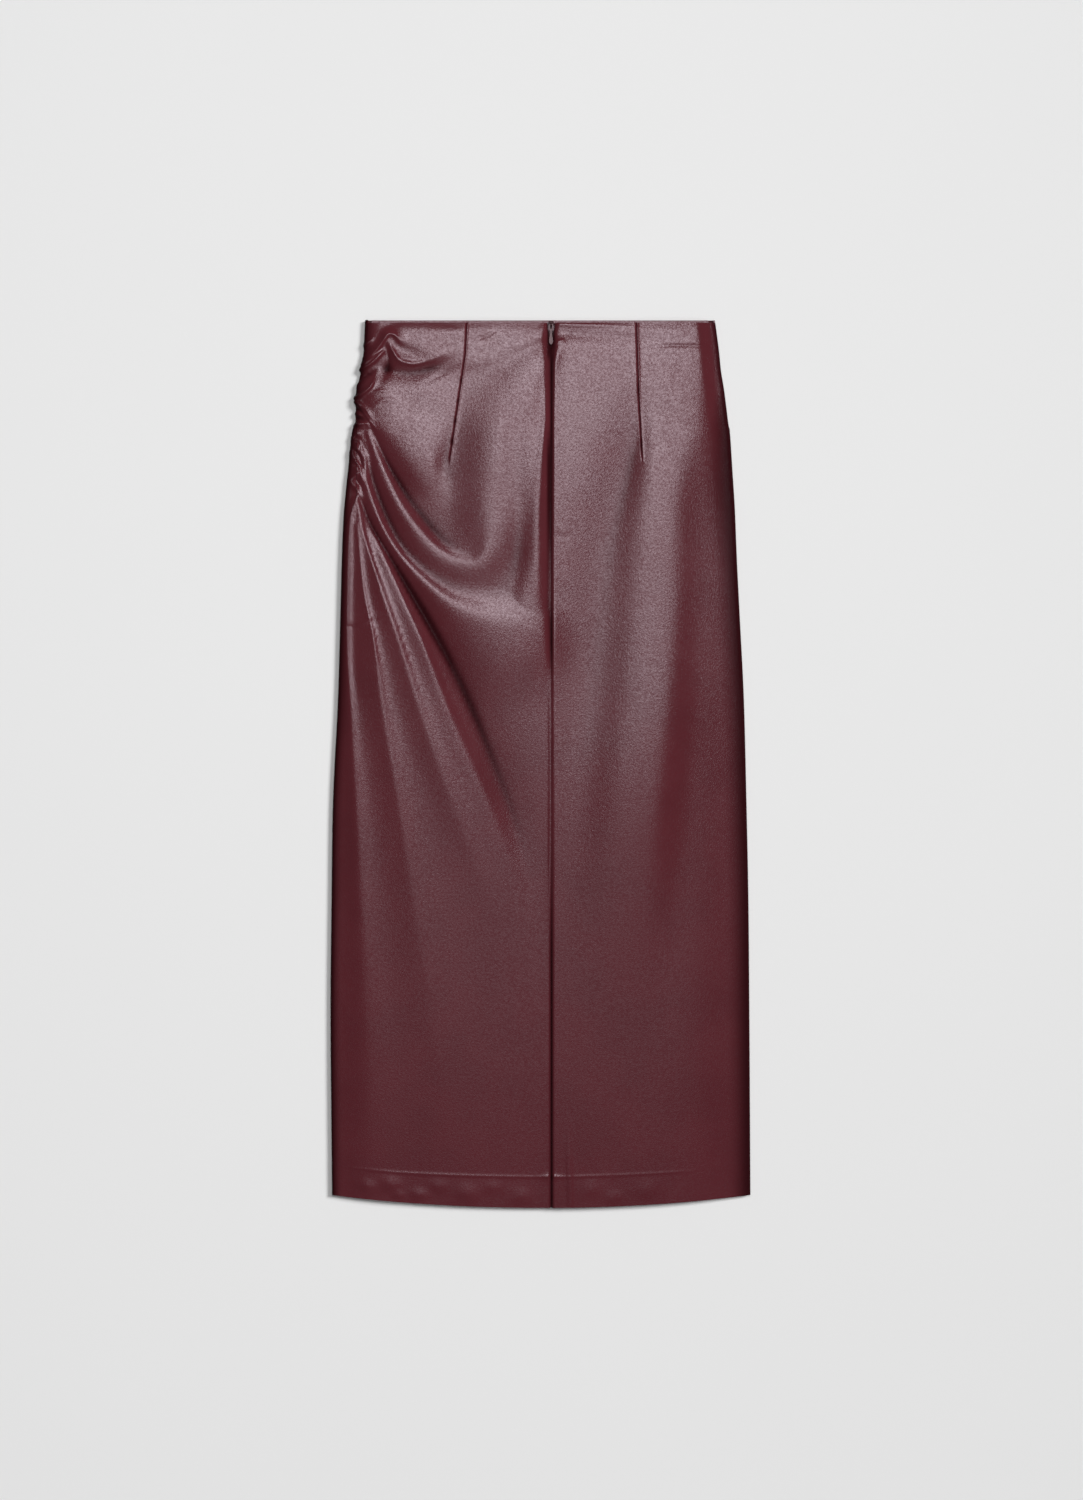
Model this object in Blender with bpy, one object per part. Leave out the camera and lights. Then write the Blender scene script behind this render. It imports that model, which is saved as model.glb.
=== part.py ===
"""A midi skirt of faux leather, gathered into its left side seam, laid flat on its front.

Sizes are in millimetres and become metres where a mesh is made. A point of the cloth has
two garment coordinates: `across`, from the centre-back seam towards the wearer's right,
and `down`, from the top edge of the front towards the hem. The skirt lies on z = 0 with
its back up and its waist towards +Y.
"""

import math
from collections import namedtuple

import bmesh
import bpy
import numpy as np

MM = 0.001

# Cut and cloth
LENGTH_AT_SIDES = 875.0  # top edge of the front to the hem, at the side seams
HEM_DIP = 12.5  # how much longer the skirt is at the middle of its hem
HEM_MIDDLE = -10.0  # across, where the hem is lowest
HEM_HALF_WIDTH = 209.0
HEM_DEPTH = 30.0  # turned up inside
BACK_DROP = 3.0  # the top edge of the back lies this far below the front's
WALL = 1.4
HEM_PLY = 1.0  # the turned-up hem's extra thickness
SEAM_GAP = 0.3

# How it lies: the back on the front, both bent loosely at the side folds
FOLD_RADIUS = 1.64  # tightest bend of the cloth, at the side folds
HEM_FOLD_RADIUS = 2.5  # there the two plies of the hem bend less
SIDE_HEIGHT = 2.9  # height of the side folds' outermost line
EDGE_RISE = 2.5  # from there to the top of the bend
SHOULDER = 2.2  # what the back still gains from the left fold inwards
RIGHT_SHOULDER = 3.4  # the same from the right fold, over the seam's pressed allowances
SAG = 0.6  # what it loses towards the centre-back seam

# Zip
ZIP_LENGTH = 222.0
TAPE_WALL = 0.8
TAPE_HALF_WIDTH = 12.0
FACING_DEPTH = 30.0
FACING_WALL = 1.0
FACING_INSET = 6.5
SLIDER = (5.2, 8.2, 2.5)  # across, down, thick
SLIDER_DOWN = 4.9  # its middle, where the bridge and the pull's pivot are too
BRIDGE = (1.2, 4.2, 3.0, 0.9)  # width, length, height over the slider, bar
PIVOT_HEIGHT = 6.7
PIVOT_CLEARANCE = 1.05  # over the slider
PULL_WALL = 0.9

OUTLINE = np.array([
    # down, left edge, right edge, width of the left and of the right shoulder
    (0, -186.0, 164.0, 9, 9),
    (30, -187.5, 168.0, 11, 11),
    (50, -190.0, 170.0, 12, 12),
    (72, -194.5, 173.5, 12, 15),
    (104, -196.0, 177.5, 10, 20),
    (112, -199.0, 179.0, 18, 21),
    (150, -203.0, 181.5, 50, 30),
    (190, -207.0, 184.0, 60, 38),
    (240, -209.0, 186.0, 55, 42),
    (300, -210.5, 189.0, 30, 44),
    (380, -213.0, 193.0, 15, 44),
    (480, -218.0, 195.5, 18, 44),
    (580, -219.5, 197.5, 22, 44),
    (700, -220.5, 198.5, 24, 44),
    (875, -219.0, 199.5, 24, 44),
])

# The left side seam lies on the upper side. The front reaches round the edge up to it.
LEFT_SEAM = np.array([
    # down, reach of the front over the edge
    (0, 3.0),
    (18, 2.6),
    (34, 1.2),
    (100, 1.2),
    (112, 5.0),
    (150, 8.5),
    (176, 11.5),
    (190, 8.0),
    (208, 1.6),
    (240, 1.2),
    (875, 1.2),
])

# Half the opening between the backs: the zip's mouth at the top, then the closed seam.
MOUTH = np.array([
    # down, half opening
    (0, 4.4),
    (9, 3.4),
    (14, 2.9),
    (30, 0.15),
    (875, 0.15),
])

# The centre-back seam lies in a valley, which ends in a mere groove below the hip.
VALLEY = np.array([
    # down, height of the seam, half width to the left and to the right
    (0, 5.7, 6.5, 9.0),
    (26, 5.6, 5.0, 6.5),
    (44, 6.2, 3.0, 2.2),
    (100, 7.0, 2.2, 1.6),
    (160, 6.9, 2.6, 1.6),
    (222, 6.5, 4.0, 1.6),
    (280, 6.3, 4.4, 1.6),
    (330, 6.4, 3.0, 1.5),
    (370, 6.4, 2.2, 1.5),
    (420, 6.4, 1.6, 1.4),
    (830, 6.4, 1.5, 1.3),
    (846, 6.4, 1.6, 1.4),
    (875, 6.4, 1.6, 1.4),
])

Fold = namedtuple("Fold", "name sharp rows")

# Each fold is a ridge, or with a negative height a trough, along a curve. Its rows hold
# across, down, height, and the half widths inside (left of the way it runs) and outside.
# `sharp` is the profile's power: 3 is a flat-topped roll, 1.3 a crease.
FOLDS = (
    Fold("lower_swag", 2.0, [
        (-191, 112, 0.4, 4, 4),
        (-187, 138, 0.9, 4, 6),
        (-184, 165, 1.4, 4, 8),
        (-167, 210, 1.8, 4, 11),
        (-145, 243, 1.8, 5, 13),
        (-107, 279, 1.6, 8, 18),
        (-76, 297, 0.8, 12, 26),
        (-50, 304, 0.0, 14, 28),
    ]),
    Fold("swag_belly", 3.0, [
        (-125, 262, 0.0, 8, 20),
        (-107, 281, 1.0, 13, 40),
        (-76, 301, 2.4, 22, 54),
        (-40, 311, 2.8, 28, 54),
        (-21, 294, 2.0, 20, 20),
        (-15, 240, 1.8, 15, 12),
        (-12, 160, 2.2, 19, 9),
        (-9, 100, 2.0, 19, 7),
        (-7, 62, 0.4, 14, 6),
    ]),
    Fold("upper_swag", 2.0, [
        (-182, 115, 0.4, 3, 4),
        (-174, 135, 0.9, 4, 6),
        (-160, 167, 1.3, 5, 10),
        (-146, 192, 1.3, 5, 11),
        (-127, 216, 1.3, 5, 12),
        (-108, 234, 1.2, 6, 14),
        (-82, 245, 1.2, 8, 17),
        (-66, 238, 1.0, 10, 17),
        (-56, 212, 0.5, 12, 15),
        (-52, 188, 0.0, 14, 15),
    ]),
    Fold("swag_rise", 2.2, [
        (-84, 250, 0.0, 20, 15),
        (-64, 230, 1.6, 28, 22),
        (-53, 190, 3.2, 40, 29),
        (-43, 130, 3.8, 46, 29),
        (-36, 98, 3.7, 42, 26),
        (-26, 72, 3.4, 34, 21),
        (-14, 50, 2.8, 28, 16),
        (-4, 38, 1.8, 20, 12),
    ]),
    Fold("hip_plane", 3.0, [
        (-144, 60, 1.0, 30, 30),
        (-144, 84, 1.8, 34, 40),
        (-138, 106, 1.8, 29, 40),
        (-132, 130, 1.8, 21, 27),
        (-122, 152, 1.3, 16, 19),
        (-112, 170, 0.6, 16, 14),
        (-103, 186, 0.0, 16, 14),
    ]),
    Fold("yoke_plane", 4.0, [
        (-160, 16, 0.6, 8, 8),
        (-140, 16, 1.2, 15, 12),
        (-100, 24, 1.4, 20, 24),
        (-70, 28, 1.5, 34, 20),
        (-40, 18, 1.5, 34, 15),
        (-14, 12, 1.2, 26, 12),
    ]),
    Fold("yoke_fold", 1.8, [
        (-191, 49, 0.6, 2, 2),
        (-179, 35, 1.0, 3, 3),
        (-170, 23, 1.4, 3, 3),
        (-164, 15, 1.6, 4, 4),
        (-156, 15, 1.2, 4, 5),
        (-148, 22, 0.6, 5, 5),
    ]),
    Fold("yoke_point", 2.0, [
        (-162, 23, 0.9, 4, 5),
        (-157, 32, 1.0, 5, 5),
        (-151, 40, 1.0, 6, 7),
        (-134, 43, 0.9, 6, 7),
        (-112, 37, 0.5, 6, 8),
        (-92, 28, 0.0, 6, 8),
    ]),
    Fold("long_a", 1.6, [
        (-194, 177, 1.0, 3, 3),
        (-187, 215, 1.5, 4, 7),
        (-171, 265, 2.0, 5, 15),
        (-152, 320, 2.2, 6, 20),
        (-127, 400, 2.1, 8, 21),
        (-99, 480, 1.7, 11, 23),
        (-76, 540, 1.0, 16, 26),
        (-55, 600, 0.3, 22, 30),
        (-44, 640, 0.0, 22, 30),
    ]),
    Fold("long_b", 1.6, [
        (-167, 236, 0.4, 4, 5),
        (-157, 258, 1.2, 5, 9),
        (-146, 282, 1.9, 5, 15),
        (-129, 320, 2.3, 6, 19),
        (-99, 400, 2.2, 8, 19),
        (-64, 480, 1.9, 11, 19),
        (-42, 540, 1.1, 18, 22),
        (-26, 600, 0.3, 24, 26),
        (-18, 640, 0.0, 24, 26),
    ]),
    Fold("side_a", 1.8, [
        (-196, 180, 0.7, 3, 3),
        (-202, 212, 1.1, 4, 4),
        (-204, 320, 1.2, 4, 4),
        (-200, 400, 1.4, 6, 7),
        (-195, 480, 1.5, 9, 11),
        (-189, 600, 1.3, 14, 14),
        (-182, 740, 0.8, 22, 18),
        (-180, 860, 0.0, 24, 18),
    ]),
    Fold("side_b", 1.6, [
        (-194, 205, 0.6, 4, 4),
        (-187, 270, 1.3, 5, 14),
        (-177, 320, 1.9, 6, 19),
        (-166, 400, 2.3, 8, 20),
        (-152, 480, 2.3, 12, 22),
        (-136, 580, 1.8, 20, 28),
        (-114, 730, 0.8, 32, 34),
        (-100, 850, 0.0, 40, 34),
    ]),
    Fold("under_plane", 1.4, [
        (-190, 86, -0.4, 4, 4),
        (-178, 112, -0.8, 6, 4),
        (-163, 144, -1.4, 10, 5),
        (-143, 177, -1.8, 16, 6),
        (-124, 202, -1.9, 24, 6),
        (-107, 220, -1.5, 30, 8),
        (-92, 230, -0.6, 30, 10),
        (-80, 232, 0.0, 30, 10),
    ]),
    Fold("between_swags", 2.0, [
        (-182, 144, -0.4, 4, 4),
        (-177, 160, -0.8, 5, 5),
        (-161, 202, -1.2, 8, 5),
        (-140, 236, -1.0, 10, 6),
        (-107, 264, -0.6, 14, 8),
        (-76, 276, -0.2, 14, 10),
        (-46, 264, -0.3, 12, 10),
        (-31, 225, -0.5, 11, 10),
        (-28, 160, -0.3, 11, 10),
        (-24, 115, 0.0, 10, 10),
    ]),
    Fold("under_swag", 1.25, [
        (-190, 180, -0.8, 4, 3),
        (-180, 204, -1.8, 5, 3),
        (-169, 224, -2.6, 7, 3),
        (-149, 258, -3.2, 12, 5),
        (-118, 312, -3.8, 24, 7),
        (-96, 352, -3.6, 33, 10),
        (-74, 400, -3.6, 32, 14),
        (-54, 450, -3.4, 30, 20),
        (-38, 495, -3.0, 30, 24),
        (-24, 545, -1.8, 32, 28),
        (-12, 600, -0.8, 30, 28),
        (-4, 650, 0.0, 30, 28),
    ]),
    Fold("under_yoke", 1.6, [
        (-176, 45, -0.6, 6, 8),
        (-162, 50, -1.8, 9, 12),
        (-142, 53, -1.8, 9, 12),
        (-120, 48, -1.4, 8, 9),
        (-100, 40, -0.6, 8, 8),
        (-84, 32, 0.0, 8, 8),
    ]),
    Fold("seat_ridge", 3.0, [
        (104, 130, 0.0, 26, 30),
        (104, 180, 0.8, 26, 40),
        (105, 220, 1.0, 28, 46),
        (106, 280, 1.1, 28, 50),
        (101, 340, 2.0, 32, 50),
        (95, 400, 3.3, 34, 50),
        (88, 450, 4.2, 34, 50),
        (84, 500, 4.0, 36, 48),
        (78, 560, 2.6, 36, 48),
        (74, 630, 0.9, 36, 48),
        (72, 680, 0.0, 36, 48),
    ]),
    Fold("seat_hollow", 1.6, [
        (86, 70, -0.6, 8, 16),
        (86, 100, -2.2, 12, 26),
        (80, 135, -3.4, 16, 32),
        (68, 190, -4.0, 23, 36),
        (51, 250, -4.0, 31, 38),
        (39, 290, -3.8, 37, 40),
        (30, 340, -3.4, 42, 36),
        (26, 400, -2.2, 42, 30),
        (24, 470, -0.8, 42, 28),
        (24, 530, 0.0, 42, 28),
    ]),
    Fold("facing_edge", 1.6, [
        (6, 15, -0.8, 6, 6),
        (50, 17, -0.9, 6, 6),
        (82, 19, -0.4, 5, 6),
        (130, 23, 0.0, 5, 6),
    ]),
    Fold("zip_end", 1.6, [
        (2, 216, -0.2, 3, 3),
        (12, 217, -0.2, 3, 3),
        (24, 216, 0.0, 3, 3),
    ]),
    Fold("swag_hollow", 2.0, [
        (-101, 120, 0.0, 30, 8),
        (-101, 160, -0.6, 36, 12),
        (-98, 190, -0.6, 36, 16),
        (-91, 216, -0.3, 30, 16),
        (-84, 232, 0.0, 30, 12),
    ]),
)

Gather = namedtuple("Gather", "down reach drop height width")
GATHERS = (
    Gather(25, 9, -9, 1.2, 2.4),
    Gather(31, 7, -5, -1.0, 2.4),
    Gather(44, 20, -14, 1.4, 2.2),
    Gather(49.5, 24, -20, 1.7, 2.4),
    Gather(57, 14, -8, -1.2, 3.4),
    Gather(66, 14, -6, 1.2, 4.5),
    Gather(77.5, 20, -19, 2.2, 2.8),
    Gather(82, 18, 22, 1.8, 2.6),
    Gather(89, 8, 6, -1.3, 2.4),
    Gather(94, 8, 5, 1.3, 2.2),
    Gather(99.5, 9, 4, -1.6, 2.6),
    Gather(105, 11, -2, 1.9, 2.8),
    Gather(118, 10, 16, -0.8, 2.4),
    Gather(128, 9, 14, 0.8, 2.4),
    Gather(138, 9, 16, -0.8, 2.4),
    Gather(149, 8, 16, 0.8, 2.4),
    Gather(160, 8, 14, -0.7, 2.4),
    Gather(170, 8, 15, 0.8, 2.4),
)
# Their fellows on the front, along the strip of it that shows beside the seam.
FRONT_GATHERS = (
    Gather(114, -8, 10, 1.0, 2.2),
    Gather(126, -8, 12, 1.1, 2.2),
    Gather(140, -8, -12, 1.1, 2.4),
    Gather(154, -8, 12, 1.0, 2.2),
    Gather(168, -9, -12, 1.1, 2.4),
)

Dart = namedtuple("Dart", "top bend tip")
DARTS = {  # (across, down) of the stitched line; below its tip the line runs on as a column
    "left": Dart((-84.5, 3.0), (-86.0, 34.0), (-102.5, 145.0)),
    "right": Dart((85.0, 3.0), (87.0, 70.0), (91.0, 143.0)),
}
DART_GROOVE = 0.8
DART_HALF_WIDTH = 1.5

COLOURS = {  # base colour, roughness, metallic
    "leather": ((0.090, 0.021, 0.026, 1.0), 0.40, 0.0),
    "tape": ((0.050, 0.012, 0.016, 1.0), 0.75, 0.0),
    "metal": ((0.110, 0.030, 0.035, 1.0), 0.35, 0.0),
}


def spline(points, steps=8):
    """Points of the Catmull-Rom curve through `points`, `steps` to each span."""
    p = np.asarray(points, float)
    p = np.vstack([2 * p[0] - p[1], p, 2 * p[-1] - p[-2]])
    t = np.linspace(0, 1, steps, endpoint=False)[:, None]
    spans = []
    for a, b, c, d in zip(p, p[1:], p[2:], p[3:]):
        spans.append(
            b + 0.5 * t * (c - a + t * (2 * a - 5 * b + 4 * c - d + t * (3 * (b - c) + d - a)))
        )
    return np.vstack([*spans, p[-2]])


def smooth(t):
    t = np.clip(t, 0, 1)
    return t * t * (3 - 2 * t)


def column(table, index, down):
    """A table's column at `down`, straight between its rows."""
    return np.interp(down, table[:, 0], table[:, index])


OUTLINE_CURVE = spline(OUTLINE)


def left_edge(down):
    return column(OUTLINE_CURVE, 1, down)


def right_edge(down):
    return column(OUTLINE_CURVE, 2, down)


def hem_dip(across, row):
    """How far a row of the grid has sunk below its nominal `down`: the hem is curved."""
    off_middle = (across - HEM_MIDDLE) / HEM_HALF_WIDTH
    return HEM_DIP * (1 - np.minimum(off_middle**2, 1)) * (row / LENGTH_AT_SIDES) ** 4


def bend_width(height, row):
    """How far a side fold of this height reaches in from the edge."""
    stiffer = smooth((row - 640) / 180.0)
    return height**2 / (FOLD_RADIUS + (HEM_FOLD_RADIUS - FOLD_RADIUS) * stiffer)


def along(rows, points, sharp):
    """Height over a curve whose rows are across, down, height, inside and outside width."""
    path = spline(rows)
    reach = 3 * path[:, 3:].max()
    low, high = path[:, :2].min(0) - reach, path[:, :2].max(0) + reach
    close = np.flatnonzero(((points >= low) & (points <= high)).all(1))
    height = np.zeros(len(points))
    if not len(close):
        return height
    start, step = path[:-1], np.diff(path, axis=0)
    run = step[:, :2]
    from_start = points[close][:, None, :] - start[:, :2]
    t = np.clip((from_start * run).sum(2) / (run**2).sum(1), 0, 1)
    gap = from_start - t[..., None] * run
    distance = np.hypot(gap[..., 0], gap[..., 1]) + 1e-9
    # `down` runs against Y, so the turn is the other way round from the usual one.
    outward = (run[:, 0] * gap[..., 1] - run[:, 1] * gap[..., 0]) / np.hypot(*run.T) / distance
    crest, inside, outside = (start[:, k] + t * step[:, k] for k in (2, 3, 4))
    width = (inside * (1 - outward) + outside * (1 + outward)) / 2
    reached = crest * np.exp(-((distance / width) ** sharp))
    height[close] = np.take_along_axis(reached, np.abs(reached).argmax(1)[:, None], 1)[:, 0]
    return height


def gather_path(gather):
    """A short ridge from the seam inwards, dying out at its far end, as a fold's rows."""
    seam = left_edge(gather.down) + column(LEFT_SEAM, 1, gather.down)
    width = gather.width
    return [
        (seam, gather.down, gather.height, width, width),
        (seam + gather.reach / 2, gather.down + gather.drop * 0.4, gather.height * 0.7,
         width, width),
        (seam + gather.reach, gather.down + gather.drop, 0, width, width),
    ]


def dart_line(dart, down):
    """Across position of a dart's stitched line, and of the column that runs on below it."""
    top, bend, tip = DARTS[dart]
    return np.interp(down, (top[1], bend[1], tip[1]), (top[0], bend[0], tip[0]))


def dart_groove(dart, across, down):
    tip = DARTS[dart].tip[1]
    depth = DART_GROOVE * smooth((tip - down) / 25.0)
    off = (across - dart_line(dart, down)) / (DART_HALF_WIDTH / 2)
    return -depth * np.exp(-(off**2))


def relief(across, row):
    """Height of the folds, the gathers and the loose lie of the back, above the bend."""
    points = np.stack([across, row], axis=1)
    from_left, from_right = across - left_edge(row), right_edge(row) - across
    at_left = from_left / column(OUTLINE_CURVE, 3, row)
    at_right = from_right / column(OUTLINE_CURVE, 4, row)
    plateau = SHOULDER + (RIGHT_SHOULDER - SHOULDER) * smooth(across / 8.0 + 0.5)
    height = plateau * (1 - np.exp(-(at_left**2)) - np.exp(-(at_right**2)))
    height = height - SAG * smooth(1 - np.abs(across) / 150.0)
    for fold in FOLDS:
        height = height + along(fold.rows, points, fold.sharp)
    for gather in GATHERS + FRONT_GATHERS:
        height = height + along(gather_path(gather), points, 1.6)
    near_right = smooth(from_right / 20.0)
    near_waist = 0.8 + 0.2 * smooth(row / 12.0)
    return height * near_right * near_waist


def lowest(across, row):
    """The back's outer height where it lies on the front, the facing, the zip or the hem."""
    on_front = 2 * WALL + SEAM_GAP
    facing = (FACING_WALL + SEAM_GAP) * (1 - smooth((row - FACING_DEPTH - 1) / 6.0))
    hem = 2 * HEM_PLY * smooth((row - LENGTH_AT_SIDES + HEM_DEPTH + 8) / 6.0)
    near_zip = np.exp(-((across / (TAPE_HALF_WIDTH + 4)) ** 8))
    near_zip = near_zip * (1 - smooth((row - ZIP_LENGTH - 2) / 8.0))
    return on_front + facing + hem + (TAPE_WALL + SEAM_GAP) * near_zip + 0.15


def soft_floor(height, floor):
    """`height` where it is well over `floor`, and never under it."""
    half = (height - floor) / 2
    return floor + half + np.sqrt(half**2 + 0.04)


def side_fold(across, row, height):
    """Share of `height` reached, and the outward normal, round an elliptical side fold."""
    inside_left, inside_right = across - left_edge(row), right_edge(row) - across
    inset = np.maximum(np.minimum(inside_left, inside_right), 0)
    width = bend_width(height, row)
    turn = 1 - np.minimum(inset / width, 1)
    share = np.sqrt(1 - turn**2)
    sideways = np.where(inside_left < inside_right, -1.0, 1.0) * turn
    normal = np.stack([sideways / width, 0 * row, share / height], axis=1)
    return share, normal / np.linalg.norm(normal, axis=1)[:, None]


def upper_skin(across, row):
    """Outer points and outward normals of the upper side, for arrays of equal length."""
    share, normal = side_fold(across, row, EDGE_RISE)
    base = SIDE_HEIGHT + SEAM_GAP / 2 + EDGE_RISE * share
    floor = np.minimum(lowest(across, row) - base, -0.3)
    move = soft_floor(relief(across, row), floor)
    valley_width = np.where(across < 0, column(VALLEY, 2, row), column(VALLEY, 3, row))
    in_valley = np.exp(-((across / valley_width) ** 2))
    move = move * (1 - in_valley) + (column(VALLEY, 1, row) - base) * in_valley
    for dart in DARTS:
        move += dart_groove(dart, across, row)
    point = np.stack([across, row + hem_dip(across, row), base], axis=1)
    return point + normal * move[:, None], normal


def lower_skin(across, row):
    """The same for the side that lies on the table: flat, turned up at both side folds."""
    height = SIDE_HEIGHT - SEAM_GAP / 2
    share, normal = side_fold(across, row, height)
    point = np.stack([across, row + hem_dip(across, row), height * (1 - share)], axis=1)
    return point, normal * (1, 1, -1)


# The frame's origin is under the middle of the skirt's box.
CENTRE_ACROSS = (OUTLINE_CURVE[:, 1].min() + OUTLINE_CURVE[:, 2].max()) / 2
CENTRE_DOWN = (LENGTH_AT_SIDES + HEM_DIP) / 2


def to_world(point):
    """Garment (across, down, height) in millimetres to the frame's metres."""
    return np.stack(
        [point[..., 0] - CENTRE_ACROSS, CENTRE_DOWN - point[..., 1], point[..., 2]], axis=-1
    ) * MM


def material(name):
    made = bpy.data.materials.get(name)
    if made:
        return made
    colour, roughness, metallic = COLOURS[name]
    made = bpy.data.materials.new(name)
    made.use_nodes = True
    shader = made.node_tree.nodes["Principled BSDF"]
    shader.inputs["Base Color"].default_value = colour
    shader.inputs["Roughness"].default_value = roughness
    shader.inputs["Metallic"].default_value = metallic
    made.diffuse_color = colour
    return made


def add_object(name, vertices, faces, finish):
    mesh = bpy.data.meshes.new(name)
    mesh.from_pydata([tuple(v) for v in vertices], [], faces)
    mesh.materials.append(material(finish))
    mesh.shade_smooth()
    mesh.set_sharp_from_angle(angle=math.radians(40))
    made = bpy.data.objects.new(name, mesh)
    bpy.context.scene.collection.objects.link(made)
    return made


def wall(name, outer, inner, finish):
    """A closed wall between two grids of equal shape, rows by columns by 3, in garment mm.

    Columns run from the left to the right of the side that `outer` faces."""
    rows, columns = outer.shape[:2]
    vertices = np.vstack([to_world(outer).reshape(-1, 3), to_world(inner).reshape(-1, 3)])
    under = rows * columns

    def at(i, j):
        return i * columns + j

    faces = []
    for i in range(rows - 1):
        for j in range(columns - 1):
            a, b, c, d = at(i, j), at(i, j + 1), at(i + 1, j + 1), at(i + 1, j)
            faces.append((a, d, c, b))
            faces.append((a + under, b + under, c + under, d + under))
    rim = [at(0, j) for j in range(columns)]
    rim += [at(i, columns - 1) for i in range(1, rows)]
    rim += [at(rows - 1, j) for j in range(columns - 2, -1, -1)]
    rim += [at(i, 0) for i in range(rows - 2, 0, -1)]
    for a, b in zip(rim, rim[1:] + rim[:1]):
        faces.append((a, b, b + under, a + under))
    return add_object(name, vertices, faces, finish)


def wall_thickness(row):
    """The cloth, with the hem's second ply below the turn-up's top edge."""
    return WALL + np.where(row > LENGTH_AT_SIDES - HEM_DEPTH, HEM_PLY, 0.0)


def spaced(*stretches):
    """Stations in stretches of (start, end, step), without doubles."""
    stations = []
    for start, end, step in stretches:
        count = max(1, round((end - start) / step))
        stations += list(np.linspace(start, end, count, endpoint=False))
    return stations + [stretches[-1][1]]


HEM_ROWS = (
    LENGTH_AT_SIDES - HEM_DEPTH - 0.5,
    LENGTH_AT_SIDES - HEM_DEPTH + 0.5,
    LENGTH_AT_SIDES - 12.0,
    LENGTH_AT_SIDES,
)
TOP_ROWS = (BACK_DROP, 6.0, 9.0)


def gather_rows():
    """Every gather's own row, and one between each and the next."""
    crests = [gather.down for gather in GATHERS]
    return sorted(crests + [(a + b) / 2 for a, b in zip(crests, crests[1:])])


LEFT_ROWS = (
    *TOP_ROWS, 13.0, 17.0, 21.0, *gather_rows(),
    *spaced((175, 214, 6.5), (214, 330, 10.5), (330, 540, 26), (540, 800, 65)), *HEM_ROWS,
)
RIGHT_ROWS = (
    *TOP_ROWS, *spaced((14, 44, 10), (44, 214, 21), (214, 222, 4), (222, 340, 24),
                       (340, 540, 40), (540, 800, 65)), *HEM_ROWS,
)


def left_columns(row):
    """Across positions of the left back's columns in one row, from its seam to the middle."""
    seam = left_edge(row) + column(LEFT_SEAM, 1, row) + SEAM_GAP / 2
    line = float(dart_line("left", row))
    middle = -column(MOUTH, 1, row)
    before, after = line - DART_HALF_WIDTH, line + DART_HALF_WIDTH
    to_dart = (0, 0.018, 0.045, 0.08, 0.12, 0.165, 0.215, 0.27, 0.33, 0.395, 0.46, 0.53, 0.6,
               0.68, 0.76, 0.84, 0.92)
    from_dart = (0.11, 0.22, 0.33, 0.44, 0.54, 0.63, 0.71, 0.79)
    return [
        *[seam + share * (before - seam) for share in to_dart],
        before, line, after,
        *[after + share * (middle - after) for share in from_dart],
        middle - 12, middle - 6, middle - 2.5, middle,
    ]


def right_columns(row):
    """The same for the right back, from the middle to its side fold."""
    middle = column(MOUTH, 1, row)
    line = float(dart_line("right", row))
    edge = right_edge(row)
    bend = bend_width(EDGE_RISE, row)
    before, after = line - DART_HALF_WIDTH, line + DART_HALF_WIDTH
    flat = edge - bend
    return [
        middle, middle + 2.5, middle + 6, middle + 12,
        *[middle + 12 + share * (before - middle - 12) for share in (0.25, 0.5, 0.75)],
        before, line, after,
        *[after + share * (flat - after) for share in (0.35, 0.65, 0.8, 0.9, 1)],
        *[edge - bend * (1 - math.cos(math.radians(angle))) for angle in (58, 32, 12, 0)],
    ]


def skin_grid(rows, columns_of, skin):
    """Outer points and normals on a grid of rows and columns of one skin."""
    across = np.array([columns_of(row) for row in rows])
    down = np.repeat(np.array(rows, float)[:, None], across.shape[1], axis=1)
    point, normal = skin(across.ravel(), down.ravel())
    return point.reshape(*across.shape, 3), normal.reshape(*across.shape, 3)


def cloth_wall(name, rows, outer, normal, finish="leather"):
    wall(name, outer, outer - normal * wall_thickness(np.array(rows))[:, None, None], finish)


def front():
    """From the left seam on the upper side, round the edge and under, to the right fold."""
    rows = [0.0, *LEFT_ROWS]
    angles = [math.radians(angle) for angle in (0, 24, 54, 90)]

    def strip(row):
        reach = column(LEFT_SEAM, 1, row) - SEAM_GAP / 2
        return [left_edge(row) + reach * share for share in (1, 0.5, 0)]

    def under(row):
        bend = bend_width(SIDE_HEIGHT - SEAM_GAP / 2, row)
        left = [left_edge(row) + bend * (1 - math.cos(a)) for a in angles]
        right = [right_edge(row) - bend * (1 - math.cos(a)) for a in reversed(angles)]
        middle = [left[-1] + share * (right[0] - left[-1]) for share in (0.2, 0.4, 0.6, 0.8)]
        return [*left, *middle, *right]

    top, top_normal = skin_grid(rows, strip, upper_skin)
    low, low_normal = skin_grid(rows, under, lower_skin)
    # Seen from its outer side the front runs the other way, so the columns are turned round.
    outer = np.concatenate([top, low], axis=1)[:, ::-1]
    normal = np.concatenate([top_normal, low_normal], axis=1)[:, ::-1]
    cloth_wall("front", rows, outer, normal)


def front_facing():
    """The strip faced inside the front's top edge, seen above the back's."""
    rows = (0.0, 10.0, 20.0, FACING_DEPTH)
    across = np.array([
        np.linspace(left_edge(row) + FACING_INSET, right_edge(row) - FACING_INSET, 6)
        for row in rows
    ])
    down = np.repeat(np.array(rows)[:, None], across.shape[1], axis=1)
    lower = np.stack([across, down, np.full_like(down, WALL + SEAM_GAP)], axis=-1)
    wall("front_facing", lower + (0, 0, FACING_WALL), lower, "leather")


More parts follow.
